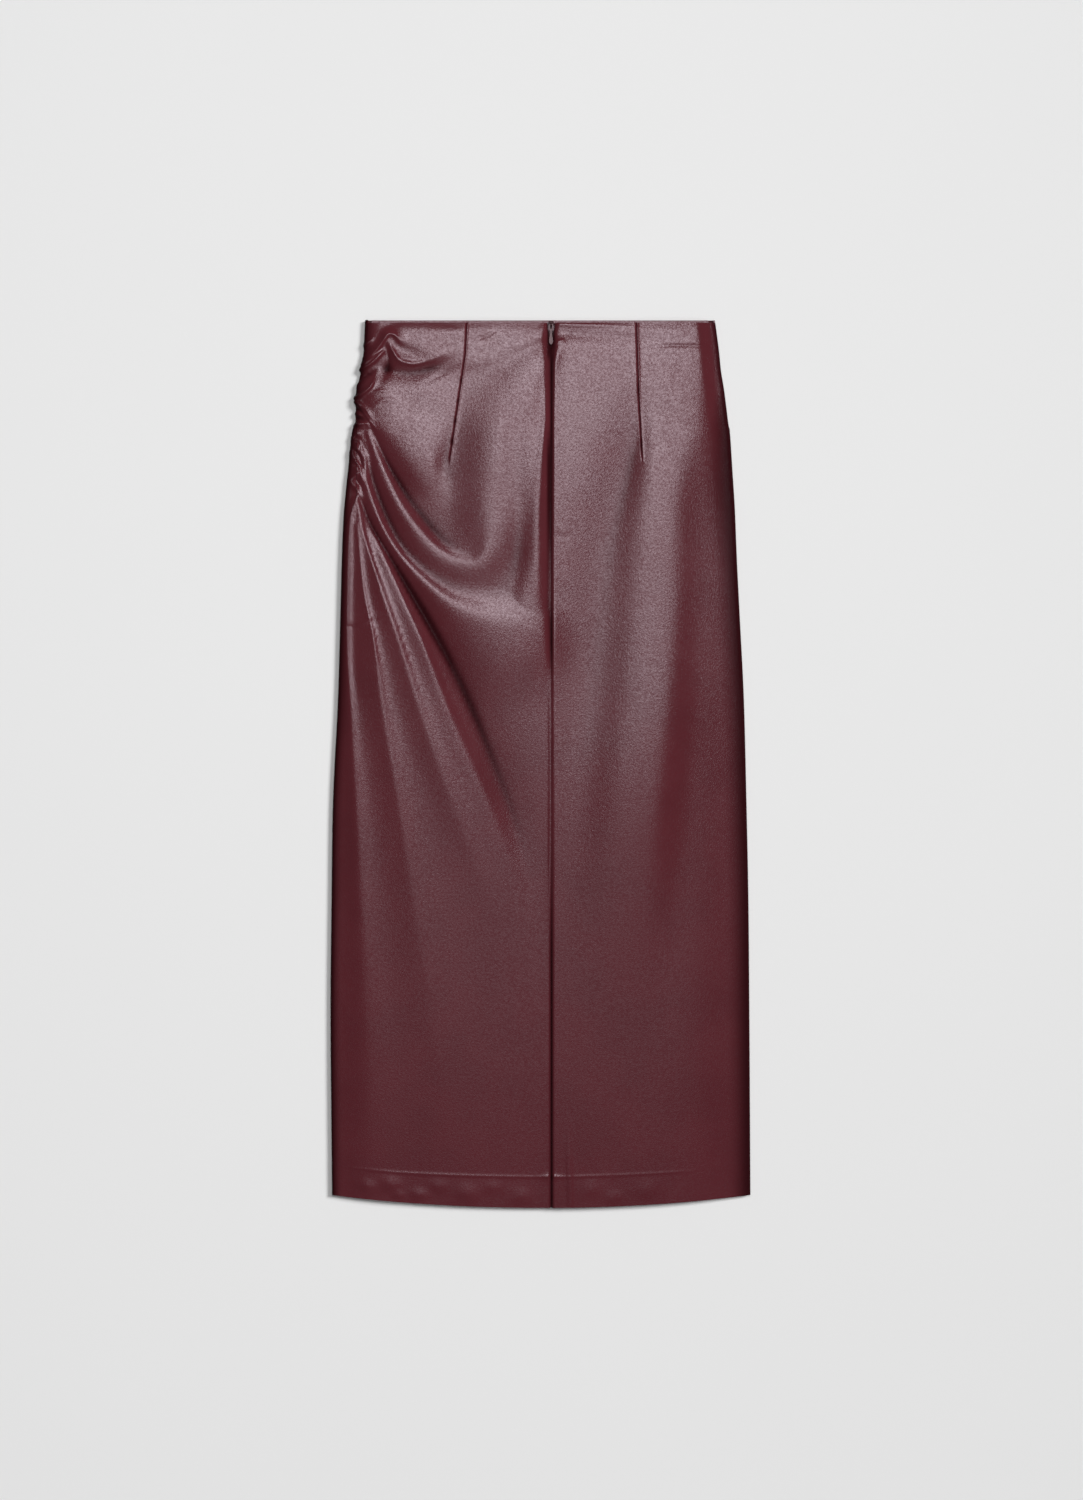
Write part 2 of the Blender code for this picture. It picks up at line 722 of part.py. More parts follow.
def zip_tape(name, side, panel_rows):
    """Half of the zip's tape, under the panel's edge and out to the slider and the teeth."""
    rows = [row for row in panel_rows if row <= ZIP_LENGTH]

    def columns_of(row):
        panel = column(MOUTH, 1, row)
        teeth = np.interp(row, (SLIDER_DOWN + SLIDER[1] / 2, 16), (SLIDER[0] / 2 + 0.4, 0.15))
        return [side * at for at in (panel + TAPE_HALF_WIDTH, panel + 6, panel + 2.5, teeth)]

    outer, normal = skin_grid(rows, columns_of, upper_skin)
    if side > 0:
        outer, normal = outer[:, ::-1], normal[:, ::-1]
    top = outer - normal * (WALL + SEAM_GAP)
    wall(name, top, top - normal * TAPE_WALL, "tape")


def from_bmesh(name, shape, finish, origin=(0, 0, 0)):
    """An object from a bmesh whose points are in garment millimetres."""
    bmesh.ops.recalc_face_normals(shape, faces=shape.faces)
    for vertex in shape.verts:
        across, down, height = vertex.co
        vertex.co = to_world(np.array((across, down, height))) - np.array(origin)
    bmesh.ops.reverse_faces(shape, faces=shape.faces)
    mesh = bpy.data.meshes.new(name)
    shape.to_mesh(mesh)
    shape.free()
    mesh.materials.append(material(finish))
    mesh.shade_smooth()
    mesh.set_sharp_from_angle(angle=math.radians(35))
    made = bpy.data.objects.new(name, mesh)
    made.location = origin
    bpy.context.scene.collection.objects.link(made)
    return made


def plate(shape, outline, move):
    """Extrude the flat outline by `move`, a vector."""
    face = shape.faces.new([shape.verts.new(point) for point in outline])
    grown = bmesh.ops.extrude_face_region(shape, geom=[face])["geom"]
    corners = [item for item in grown if isinstance(item, bmesh.types.BMVert)]
    bmesh.ops.translate(shape, verts=corners, vec=move)


def zip_slider():
    """A wedge-nosed slider with a bridge over it for the pull."""
    width, length, thick = SLIDER
    top = PIVOT_HEIGHT - PIVOT_CLEARANCE
    body = bmesh.new()
    start, end = SLIDER_DOWN - length / 2, SLIDER_DOWN + length / 2
    half = width / 2
    outline = [(-half * 0.8, start), (half * 0.8, start), (half, start + 1.4),
               (half, SLIDER_DOWN), (half * 0.62, end), (-half * 0.62, end),
               (-half, SLIDER_DOWN), (-half, start + 1.4)]
    plate(body, [(*at, top - thick) for at in outline], (0, 0, thick))
    rims = [edge for edge in body.edges if abs(edge.verts[0].co.z - edge.verts[1].co.z) < 1e-6]
    bmesh.ops.bevel(body, geom=rims, offset=0.35, segments=2, affect="EDGES")
    slider = from_bmesh("zip_slider", body, "metal")

    bar_width, reach, rise, bar = BRIDGE
    arch = bmesh.new()
    outer, inner = [], []
    for step in range(9):
        angle = math.pi * step / 8
        swing, lift = -math.cos(angle), math.sin(angle) ** 0.6
        outer.append((-bar_width / 2, SLIDER_DOWN + swing * reach / 2, top + rise * lift))
        inner.append((-bar_width / 2, SLIDER_DOWN + swing * (reach / 2 - bar),
                      top + (rise - bar) * lift))
    feet = [(-bar_width / 2, at[1], top - 0.6) for at in (inner[-1], inner[0])]
    tips = [(-bar_width / 2, at[1], top - 0.6) for at in (outer[0], outer[-1])]
    ring = [tips[0], *outer, tips[1], feet[0], *reversed(inner), feet[1]]
    plate(arch, ring, (bar_width, 0, 0))
    bridge = from_bmesh("zip_bridge", arch, "metal")
    bridge.hide_render = True
    bridge.display_type = "WIRE"
    union = slider.modifiers.new("bridge", "BOOLEAN")
    union.operation = "UNION"
    union.object = bridge


def zip_pull():
    """A drop-shaped pull, its long eye round the bridge, hinged on the bar under it."""
    low = PIVOT_HEIGHT - PULL_WALL / 2
    profile = [  # down from the pivot, half width
        (-0.45, 1.4), (-0.1, 1.9), (1.0, 2.1), (4.0, 2.0), (5.2, 1.6), (6.4, 0.9), (8.4, 0.8),
        (11.0, 1.2), (14.0, 1.75), (16.6, 1.85), (18.4, 1.5), (19.4, 0.9), (19.8, 0.3),
    ]
    shape = bmesh.new()
    sides = [(half, SLIDER_DOWN + along) for along, half in profile]
    sides += [(-half, SLIDER_DOWN + along) for along, half in reversed(profile)]
    plate(shape, [(*at, low) for at in sides], (0, 0, PULL_WALL))
    origin = tuple(to_world(np.array((0.0, SLIDER_DOWN, PIVOT_HEIGHT))))
    pull = from_bmesh("zip_pull", shape, "metal", origin)

    eye = bmesh.new()
    corners = [(-1.0, 0.45), (1.0, 0.45), (1.0, 3.9), (0.6, 4.4), (-0.6, 4.4), (-1.0, 3.9)]
    outline = [(across, SLIDER_DOWN + along, low - 1) for across, along in corners]
    plate(eye, outline, (0, 0, PULL_WALL + 2))
    cutter = from_bmesh("zip_pull_eye", eye, "metal", origin)
    cutter.hide_render = True
    cutter.display_type = "WIRE"
    cut = pull.modifiers.new("eye", "BOOLEAN")
    cut.operation = "DIFFERENCE"
    cut.object = cutter


def clear_scene():
    for old in list(bpy.data.objects):
        bpy.data.objects.remove(old)


def main():
    clear_scene()
    cloth_wall("back_left", LEFT_ROWS, *skin_grid(LEFT_ROWS, left_columns, upper_skin))
    cloth_wall("back_right", RIGHT_ROWS, *skin_grid(RIGHT_ROWS, right_columns, upper_skin))
    front()
    front_facing()
    zip_tape("zip_tape_left", -1, LEFT_ROWS)
    zip_tape("zip_tape_right", 1, RIGHT_ROWS)
    zip_slider()
    zip_pull()


main()
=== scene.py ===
"""The looks of the leather skirt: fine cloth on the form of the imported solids, and its sewing.

Sizes are in millimetres and become metres where a mesh is made. A point of the cloth has
two garment coordinates: `across`, from the centre-back seam towards the wearer's right,
and `down`, from the top edge of the front towards the hem.
"""

import math
from collections import namedtuple

import bpy
import numpy as np
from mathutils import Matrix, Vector


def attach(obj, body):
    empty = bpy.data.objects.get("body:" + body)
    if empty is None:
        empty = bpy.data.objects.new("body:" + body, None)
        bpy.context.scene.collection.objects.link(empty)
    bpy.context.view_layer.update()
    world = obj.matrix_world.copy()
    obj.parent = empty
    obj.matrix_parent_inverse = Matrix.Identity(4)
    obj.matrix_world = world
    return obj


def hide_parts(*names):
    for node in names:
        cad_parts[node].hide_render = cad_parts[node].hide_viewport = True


MM = 0.001
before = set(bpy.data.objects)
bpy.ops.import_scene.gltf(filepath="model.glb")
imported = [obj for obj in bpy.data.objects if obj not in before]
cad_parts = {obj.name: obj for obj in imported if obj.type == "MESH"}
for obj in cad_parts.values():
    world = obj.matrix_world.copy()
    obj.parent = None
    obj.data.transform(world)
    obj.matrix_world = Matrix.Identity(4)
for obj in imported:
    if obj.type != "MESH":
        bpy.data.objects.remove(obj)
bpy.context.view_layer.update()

# ---------------------------------------------------------------- form, as in the solids
#
# The edges, the lines of the seams and most folds are the solids' own. Nine folds differ a
# little in place, height or the width of a flank, and so does the valley beside the top of the
# zip. The cloth's upper side is at most 1.2 mm above and 1.6 mm below that of the solids, with
# the finer creases counted in.

LENGTH_AT_SIDES = 875.0
HEM_DIP = 12.5
HEM_MIDDLE = -10.0
HEM_HALF_WIDTH = 209.0
HEM_DEPTH = 30.0
BACK_DROP = 3.0
WALL = 1.4
HEM_PLY = 1.0
SEAM_GAP = 0.3
FOLD_RADIUS = 1.64
HEM_FOLD_RADIUS = 2.5
SIDE_HEIGHT = 2.9
EDGE_RISE = 2.5
LOW_PAINTED_SHADE = 0.3  # painted shade of what lies low, such as the facing and the underside
EDGE_SHADE = 14.0  # how far in from the left edge the painted shade reaches
RIGHT_EDGE_SHADE = ((0, 70, 110, 170, 260, 875), (9, 11, 30, 40, 30, 28))  # by row
SHOULDER = 2.2
RIGHT_SHOULDER = 3.4
SAG = 0.6
ZIP_LENGTH = 222.0
TAPE_WALL = 0.8
TAPE_HALF_WIDTH = 12.0
TOOTH = (0.95, 0.42, 0.5)  # half width, half length, half height of one bead
TEETH = (9.8, 33.0, 0.62)  # down to, and pitch
FACING_DEPTH = 30.0
FACING_WALL = 1.0
FACING_INSET = 6.5

OUTLINE = np.array([
    # down, left edge, right edge, width of the left and of the right shoulder
    (0, -186.0, 164.0, 9, 9),
    (30, -187.5, 168.0, 11, 11),
    (50, -190.0, 170.0, 12, 12),
    (72, -194.5, 173.5, 12, 15),
    (104, -196.0, 177.5, 10, 20),
    (112, -199.0, 179.0, 18, 21),
    (150, -203.0, 181.5, 50, 30),
    (190, -207.0, 184.0, 60, 38),
    (240, -209.0, 186.0, 55, 42),
    (300, -210.5, 189.0, 30, 44),
    (380, -213.0, 193.0, 15, 44),
    (480, -218.0, 195.5, 18, 44),
    (580, -219.5, 197.5, 22, 44),
    (700, -220.5, 198.5, 24, 44),
    (875, -219.0, 199.5, 24, 44),
])

LEFT_SEAM = np.array([
    # down, reach of the front over the edge
    (0, 3.0),
    (18, 2.6),
    (34, 1.2),
    (100, 1.2),
    (112, 5.0),
    (150, 8.5),
    (176, 11.5),
    (190, 8.0),
    (208, 1.6),
    (240, 1.2),
    (875, 1.2),
])

MOUTH = np.array([
    # down, half opening
    (0, 4.4),
    (9, 3.4),
    (14, 2.9),
    (30, 0.15),
    (875, 0.15),
])

VALLEY = np.array([
    # down, height of the seam, half width to the left and to the right
    (0, 5.7, 6.5, 6.5),
    (26, 5.6, 5.0, 4.5),
    (44, 6.2, 3.0, 2.2),
    (100, 7.0, 2.2, 1.6),
    (160, 6.9, 2.6, 1.6),
    (222, 6.5, 4.0, 1.6),
    (280, 6.3, 4.4, 1.6),
    (330, 6.4, 3.0, 1.5),
    (370, 6.4, 2.2, 1.5),
    (420, 6.4, 1.6, 1.4),
    (830, 6.4, 1.5, 1.3),
    (846, 6.4, 1.6, 1.4),
    (875, 6.4, 1.6, 1.4),
])

Fold = namedtuple("Fold", "name sharp rows")

FOLDS = (
    # rows: across, down, height, half width inside (left of the way it runs), outside
    Fold("lower_swag", 2.0, [
        (-191, 112, 0.4, 4, 4),
        (-187, 138, 0.9, 4, 6),
        (-184, 165, 1.4, 4, 8),
        (-167, 210, 1.8, 4, 11),
        (-145, 243, 1.8, 5, 13),
        (-107, 279, 1.6, 8, 18),
        (-76, 297, 0.8, 12, 26),
        (-50, 304, 0.0, 14, 28),
    ]),
    Fold("swag_belly", 3.0, [
        (-125, 262, 0.0, 8, 20),
        (-107, 281, 1.0, 13, 40),
        (-76, 301, 2.4, 22, 54),
        (-40, 311, 2.8, 28, 54),
        (-21, 294, 2.0, 20, 20),
        (-15, 240, 1.8, 15, 12),
        (-11, 160, 2.1, 19, 7),
        (-6, 100, 1.6, 18, 4),
        (-5, 62, 0.4, 14, 4),
    ]),
    Fold("upper_swag", 2.0, [
        (-182, 115, 0.4, 3, 4),
        (-174, 135, 0.9, 4, 6),
        (-160, 167, 1.3, 5, 10),
        (-146, 192, 1.3, 5, 11),
        (-127, 216, 1.3, 5, 12),
        (-108, 234, 1.2, 6, 14),
        (-82, 245, 1.2, 8, 17),
        (-66, 238, 1.0, 10, 17),
        (-56, 212, 0.5, 12, 15),
        (-52, 188, 0.0, 14, 15),
    ]),
    Fold("swag_rise", 2.2, [
        (-84, 250, 0.0, 20, 15),
        (-64, 230, 1.6, 28, 22),
        (-53, 190, 3.2, 40, 29),
        (-43, 130, 3.8, 46, 29),
        (-36, 98, 3.7, 42, 26),
        (-26, 72, 3.4, 34, 21),
        (-14, 50, 2.8, 28, 16),
        (-4, 38, 1.8, 20, 12),
    ]),
    Fold("hip_plane", 3.0, [
        (-150, 60, 0.8, 34, 28),
        (-150, 84, 1.5, 38, 34),
        (-145, 106, 1.5, 33, 34),
        (-136, 130, 1.6, 23, 26),
        (-123, 152, 1.1, 14, 19),
        (-116, 170, 0.5, 14, 14),
        (-109, 190, 0.0, 14, 14),
    ]),
    Fold("yoke_plane", 4.0, [
        (-160, 16, 0.6, 8, 8),
        (-140, 16, 1.2, 15, 12),
        (-100, 24, 1.4, 20, 24),
        (-70, 28, 1.5, 34, 20),
        (-40, 18, 1.5, 34, 15),
        (-10, 12, 1.2, 26, 8),
    ]),
    Fold("yoke_fold", 1.8, [
        (-191, 49, 0.6, 2, 2),
        (-179, 35, 1.0, 3, 3),
        (-170, 23, 1.4, 3, 3),
        (-164, 15, 1.6, 4, 4),
        (-156, 15, 1.2, 4, 5),
        (-148, 22, 0.6, 5, 5),
    ]),
    Fold("yoke_point", 2.0, [
        (-162, 23, 0.9, 4, 5),
        (-157, 32, 1.0, 5, 5),
        (-151, 40, 1.0, 6, 7),
        (-134, 43, 0.9, 6, 7),
        (-112, 37, 0.5, 6, 8),
        (-92, 28, 0.0, 6, 8),
    ]),
    Fold("long_a", 1.4, [
        (-194, 177, 1.0, 3, 3),
        (-187, 215, 1.5, 3, 11),
        (-171, 265, 2.0, 3, 18),
        (-152, 320, 2.2, 3.5, 24),
        (-127, 400, 2.1, 8, 26),
        (-99, 480, 1.7, 13, 28),
        (-76, 540, 1.0, 16, 28),
        (-55, 600, 0.3, 22, 30),
        (-44, 640, 0.0, 22, 30),
    ]),
    Fold("long_b", 1.4, [
        (-167, 236, 0.9, 3, 12),
        (-157, 258, 1.4, 3, 15),
        (-146, 282, 1.9, 3, 19),
        (-129, 320, 2.3, 3.5, 24),
        (-99, 400, 2.2, 8, 26),
        (-64, 480, 1.9, 13, 26),
        (-42, 540, 1.1, 18, 26),
        (-26, 600, 0.3, 24, 26),
        (-18, 640, 0.0, 24, 26),
    ]),
    Fold("side_a", 1.8, [
        (-196, 180, 0.7, 3, 3),
        (-202, 212, 1.1, 4, 4),
        (-204, 320, 1.2, 4, 4),
        (-200, 400, 1.4, 6, 7),
        (-195, 480, 1.5, 9, 11),
        (-189, 600, 1.3, 14, 14),
        (-182, 740, 0.8, 22, 18),
        (-180, 860, 0.0, 24, 18),
    ]),
    Fold("side_b", 1.35, [
        (-194, 205, 0.6, 4, 4),
        (-187, 270, 1.3, 3, 14),
        (-177, 320, 1.9, 3.5, 19),
        (-166, 400, 2.3, 9, 20),
        (-152, 480, 2.3, 14, 22),
        (-136, 580, 1.8, 20, 28),
        (-114, 730, 0.8, 32, 34),
        (-100, 850, 0.0, 40, 34),
    ]),
    Fold("under_plane", 1.4, [
        (-190, 86, -0.4, 4, 4),
        (-178, 112, -0.8, 6, 4),
        (-163, 144, -1.4, 10, 5),
        (-143, 177, -1.8, 16, 6),
        (-124, 202, -1.9, 24, 6),
        (-107, 220, -1.5, 30, 8),
        (-92, 230, -0.6, 30, 10),
        (-80, 232, 0.0, 30, 10),
    ]),
    Fold("between_swags", 2.0, [
        (-182, 144, -0.4, 4, 4),
        (-177, 160, -0.8, 5, 5),
        (-161, 202, -1.2, 8, 5),
        (-140, 236, -1.0, 10, 6),
        (-107, 264, -0.6, 14, 8),
        (-76, 276, -0.2, 14, 10),
        (-46, 264, -0.3, 12, 10),
        (-31, 225, -0.5, 11, 10),
        (-28, 160, -0.3, 11, 10),
        (-24, 115, 0.0, 10, 10),
    ]),
    Fold("under_swag", 1.25, [
        (-190, 180, -0.8, 4, 3),
        (-180, 204, -1.8, 5, 3),
        (-169, 224, -2.6, 7, 3),
        (-149, 258, -3.2, 12, 5),
        (-118, 312, -3.8, 24, 7),
        (-96, 352, -3.6, 33, 10),
        (-74, 400, -3.6, 32, 14),
        (-54, 450, -3.4, 30, 20),
        (-38, 495, -3.0, 30, 24),
        (-24, 545, -1.8, 32, 28),
        (-12, 600, -0.8, 30, 28),
        (-4, 650, 0.0, 30, 28),
    ]),
    Fold("under_yoke", 1.6, [
        (-176, 45, -0.6, 6, 8),
        (-162, 50, -1.8, 9, 12),
        (-142, 53, -1.8, 9, 12),
        (-120, 48, -1.4, 8, 9),
        (-100, 40, -0.6, 8, 8),
        (-84, 32, 0.0, 8, 8),
    ]),
    Fold("seat_ridge", 3.0, [
        (112, 60, 0.0, 24, 24),
        (112, 90, 0.5, 24, 24),
        (113, 130, 1.0, 26, 32),
        (112, 180, 1.2, 25, 38),
        (112, 220, 1.3, 25, 42),
        (112, 280, 1.5, 25, 46),
        (109, 330, 2.1, 26, 46),
        (103, 390, 3.3, 30, 48),
        (95, 450, 4.2, 32, 49),
        (89, 500, 4.0, 34, 48),
        (82, 560, 2.6, 36, 48),
        (76, 630, 0.9, 36, 48),
        (72, 680, 0.0, 36, 48),
    ]),
    Fold("seat_hollow", 1.6, [
        (86, 70, -0.5, 8, 16),
        (85, 100, -1.9, 13, 26),
        (81, 135, -3.2, 15, 32),
        (73, 170, -3.6, 19, 36),
        (61, 220, -3.8, 25, 42),
        (52, 280, -3.8, 31, 46),
        (45, 330, -3.5, 36, 44),
        (40, 380, -2.7, 39, 41),
        (34, 430, -1.7, 40, 37),
        (28, 480, -0.8, 42, 33),
        (24, 530, 0.0, 42, 28),
    ]),
    Fold("facing_edge", 1.6, [
        (6, 13, -0.6, 7, 7),
        (50, 16, -0.7, 7, 7),
        (82, 19, -0.4, 5, 6),
        (130, 23, 0.0, 5, 6),
    ]),
    Fold("zip_end", 1.6, [
        (2, 216, -0.2, 3, 3),
        (12, 217, -0.2, 3, 3),
        (24, 216, 0.0, 3, 3),
    ]),
    Fold("swag_hollow", 2.0, [
        (-101, 120, 0.0, 30, 8),
        (-101, 160, -0.6, 36, 12),
        (-98, 190, -0.6, 36, 16),
        (-91, 216, -0.3, 30, 16),
        (-84, 232, 0.0, 30, 12),
    ]),
)

# Finer creases, and shallow hollows, that the solids don't carry, in the same rows.
CREASES = (
    Fold("loop", 2.0, [
        (-186, 38, 0.2, 1.1, 1.3),
        (-173, 29, 0.7, 1.2, 1.6),
        (-165.5, 18.5, 0.8, 1.2, 1.6),
        (-161.5, 14.5, 0.7, 1.2, 1.6),
        (-155.5, 16, 0.7, 1.2, 1.8),
        (-149.5, 22.5, 0.0, 1.2, 2.2),
    ]),
    Fold("point", 2.0, [
        (-162, 23, 0.0, 1.2, 1.4),
        (-158, 31, 0.6, 1.2, 1.5),
        (-152, 40, 0.7, 1.4, 1.8),
        (-144, 43.5, 0.7, 1.5, 2.0),
        (-134, 44, 0.5, 1.6, 2.2),
        (-120, 40, 0.3, 1.8, 2.6),
        (-104, 34, 0.0, 2.0, 3.0),
    ]),
    Fold("pocket", 1.8, [
        (-166, 26, 0.0, 3.0, 3.0),
        (-163, 34, -0.8, 3.0, 3.6),
        (-162, 44, -1.0, 4.0, 5.0),
        (-167, 56, -0.6, 5.0, 6.0),
        (-172, 66, 0.0, 4.0, 5.0),
    ]),
    Fold("upper_tuck", 1.8, [
        (-188, 27, 0.0, 1.3, 1.3),
        (-184, 24, 0.6, 1.3, 1.5),
        (-178.5, 18, 0.0, 1.3, 1.3),
    ]),
    Fold("small_tuck", 1.8, [
        (-189, 39, 0.5, 1.2, 1.4),
        (-182, 33, 0.0, 1.2, 1.4),
    ]),
    Fold("long_tuck", 1.8, [
        (-191, 50.5, 0.8, 1.2, 1.7),
        (-178, 42, 0.7, 1.2, 1.7),
        (-169, 33, 0.4, 1.2, 1.6),
        (-165, 28, 0.0, 1.2, 1.4),
    ]),
    Fold("under_tuck", 1.8, [
        (-193, 61, -0.7, 1.8, 1.8),
        (-182, 55, -0.7, 2.0, 2.0),
        (-172, 47, 0.0, 2.0, 2.0),
    ]),
    Fold("hook", 1.8, [
        (-195, 78, 0.9, 1.2, 1.5),
        (-187, 73, 0.9, 1.2, 1.5),
        (-180, 67, 0.8, 1.2, 1.5),
        (-175.5, 56, 0.0, 1.2, 1.5),
    ]),
    Fold("cross", 1.8, [
        (-195, 82, 0.9, 1.2, 1.4),
        (-187, 93, 0.9, 1.2, 1.4),
        (-179, 104, 0.4, 1.4, 1.8),
        (-172, 112, 0.0, 1.4, 2.0),
    ]),
    Fold("notch", 1.8, [
        (-197, 97, -1.0, 1.8, 1.8),
        (-190, 99, -0.9, 1.8, 1.8),
        (-184, 106, 0.0, 1.6, 1.6),
    ]),
    Fold("knot", 1.8, [
        (-197, 106, 1.0, 1.3, 1.5),
        (-190, 103, 1.0, 1.3, 1.5),
        (-184, 104, 0.7, 1.3, 1.5),
        (-181, 108, 0.0, 1.3, 1.5),
    ]),
    Fold("seam_pucker_a", 1.8, [
        (-198, 118, 0.8, 1.2, 1.3),
        (-191, 122, 0.7, 1.2, 1.3),
        (-188, 134, 0.0, 1.2, 1.3),
    ]),
    Fold("seam_pucker_b", 1.8, [
        (-197, 130, -0.8, 1.3, 1.4),
        (-191, 137, -0.7, 1.3, 1.4),
        (-189, 150, 0.0, 1.3, 1.4),
    ]),
    Fold("seam_pucker_c", 1.8, [
        (-196, 141, 0.8, 1.2, 1.3),
        (-191, 147, 0.7, 1.2, 1.3),
        (-189, 160, 0.0, 1.2, 1.3),
    ]),
    Fold("hip_crease_a", 2.0, [
        (-182, 74, 0.0, 1.6, 1.8),
        (-170, 71, 0.35, 1.6, 1.8),
        (-160, 73, 0.0, 1.6, 1.8),
    ]),
    Fold("hip_crease_b", 2.0, [
        (-178, 86, 0.0, 1.8, 2.2),
        (-165, 80, 0.3, 1.8, 2.2),
        (-148, 82, 0.0, 1.8, 2.2),
    ]),
    Fold("waist_crease_a", 2.0, [
        (-84, 22, 0.0, 1.8, 2.2),
        (-66, 17, -0.35, 1.8, 2.2),
        (-50, 8, 0.0, 1.8, 2.2),
    ]),
    Fold("waist_crease_b", 2.0, [
        (-130, 66, 0.0, 2.4, 2.8),
        (-104, 52, -0.3, 2.4, 2.8),
        (-84, 44, 0.0, 2.4, 2.8),
    ]),
    Fold("thigh_crease_a", 1.8, [
        (-209, 304, 0.0, 1.4, 1.4),
        (-200, 307, -0.5, 1.4, 1.4),
        (-191, 303, 0.0, 1.4, 1.4),
    ]),
    Fold("thigh_crease_b", 1.8, [
        (-186, 304, 0.0, 1.4, 1.4),
        (-179, 302, -0.45, 1.4, 1.4),
        (-172, 299, 0.0, 1.4, 1.4),
    ]),
    Fold("dart_hollow", 2.0, [
        (-92, 76, 0.0, 18, 7),
        (-97, 104, -0.7, 24, 7),
        (-102, 130, -1.1, 28, 8),
        (-108, 160, -1.0, 34, 14),
        (-112, 190, -0.8, 40, 20),
        (-108, 232, 0.0, 42, 20),
    ]),
    Fold("rise_trough", 2.0, [
        (-36, 84, 0.0, 16, 10),
        (-37, 112, -0.6, 18, 10),
        (-40, 150, -0.8, 20, 12),
        (-44, 185, -0.8, 22, 14),
        (-48, 220, -0.6, 22, 14),
        (-52, 252, 0.0, 20, 14),
    ]),
    Fold("seam_roll", 2.0, [
        (-4.5, 40, 0.0, 3.0, 4.0),
        (-5, 75, 0.7, 3.0, 4.0),
        (-5.5, 100, 0.9, 3.0, 4.5),
        (-8, 130, 0.9, 3.0, 5.5),
        (-10.5, 160, 0.8, 3.5, 6.5),
        (-13, 200, 0.8, 4.0, 7.0),
        (-14, 250, 0.6, 5.0, 7.0),
        (-16, 290, 0.0, 5.0, 7.0),
    ]),
    Fold("hip_dimple", 2.0, [
        (-158, 70, 0.0, 10, 10),
        (-142, 80, -0.55, 12, 14),
        (-124, 92, -0.4, 12, 14),
        (-110, 100, 0.0, 10, 12),
    ]),
    Fold("right_dimple", 2.0, [
        (104, 70, 0.0, 14, 18),
        (118, 96, -0.7, 16, 20),
        (122, 130, -0.5, 16, 20),
        (118, 160, 0.0, 14, 18),
    ]),
    Fold("right_top_line", 1.8, [
        (6, 4.4, 0.6, 1.2, 1.8),
        (44, 5.6, 0.5, 1.2, 1.8),
        (82, 6.6, 0.1, 1.2, 1.8),
    ]),
    Fold("right_top_wedge", 1.8, [
        (7, 13, -0.3, 5.0, 6.0),
        (22, 14, -0.3, 5.0, 7.0),
        (46, 15, 0.0, 5.0, 7.0),
    ]),
    Fold("zip_side_crease", 1.8, [
        (4, 24, 0.5, 1.4, 1.4),
        (11, 21, 0.4, 1.4, 1.4),
        (14, 28, 0.0, 1.4, 1.4),
    ]),
    Fold("zip_left_curl", 1.8, [
        (-5.5, 4, 0.8, 1.6, 1.6),
        (-7.5, 12, 0.5, 1.6, 1.8),
        (-8.5, 24, 0.0, 1.6, 1.8),
    ]),
    Fold("facing_print", 1.8, [
        (96, 27, 0.0, 1.4, 1.8),
        (120, 26, -0.35, 1.4, 1.8),
        (160, 27, -0.35, 1.4, 1.8),
        (172, 30, 0.0, 1.4, 1.8),
    ]),
    Fold("hem_top_left", 1.8, [
        (-200, 845.5, 0.1, 1.2, 1.2),
        (-150, 846, 0.35, 1.2, 1.4),
        (-90, 845.5, 0.35, 1.2, 1.4),
        (-4, 845.5, 0.3, 1.2, 1.4),
    ]),
    Fold("hem_top_right", 1.8, [
        (4, 845.5, 0.4, 1.2, 1.4),
        (60, 845, 0.25, 1.2, 1.4),
        (112, 845, 0.2, 1.2, 1.4),
        (150, 845, 0.0, 1.2, 1.2),
    ]),
    Fold("hem_pucker", 1.6, [
        (-6, 845, 0.5, 2.0, 2.4),
        (0, 845, 0.9, 2.0, 2.4),
        (7, 845, 0.3, 2.0, 2.4),
    ]),
    Fold("hem_wave", 2.0, [
        (17, 790, 0.0, 3.0, 3.0),
        (18, 830, 0.5, 2.6, 2.6),
        (19, 852, 0.6, 2.6, 2.6),
        (19, 872, 0.4, 2.6, 2.6),
    ]),
)

Gather = namedtuple("Gather", "down reach drop height width")
GATHERS = (
    Gather(25, 9, -9, 1.2, 2.4),
    Gather(31, 7, -5, -1.0, 2.4),
    Gather(44, 20, -14, 1.4, 2.2),
    Gather(49.5, 24, -20, 1.7, 2.4),
    Gather(57, 14, -8, -1.2, 3.4),
    Gather(66, 14, -6, 1.2, 4.5),
    Gather(77.5, 20, -19, 2.2, 2.8),
    Gather(82, 18, 22, 1.8, 2.6),
    Gather(89, 8, 6, -1.3, 2.4),
    Gather(94, 8, 5, 1.3, 2.2),
    Gather(99.5, 9, 4, -1.6, 2.6),
    Gather(105, 11, -2, 1.9, 2.8),
    Gather(118, 10, 16, -0.8, 2.4),
    Gather(128, 9, 14, 0.8, 2.4),
    Gather(138, 9, 16, -0.8, 2.4),
    Gather(149, 8, 16, 0.8, 2.4),
    Gather(160, 8, 14, -0.7, 2.4),
    Gather(170, 8, 15, 0.8, 2.4),
)
FRONT_GATHERS = (
    Gather(114, -8, 10, 1.0, 2.2),
    Gather(126, -8, 12, 1.1, 2.2),
    Gather(140, -8, -12, 1.1, 2.4),
    Gather(154, -8, 12, 1.0, 2.2),
    Gather(168, -9, -12, 1.1, 2.4),
)

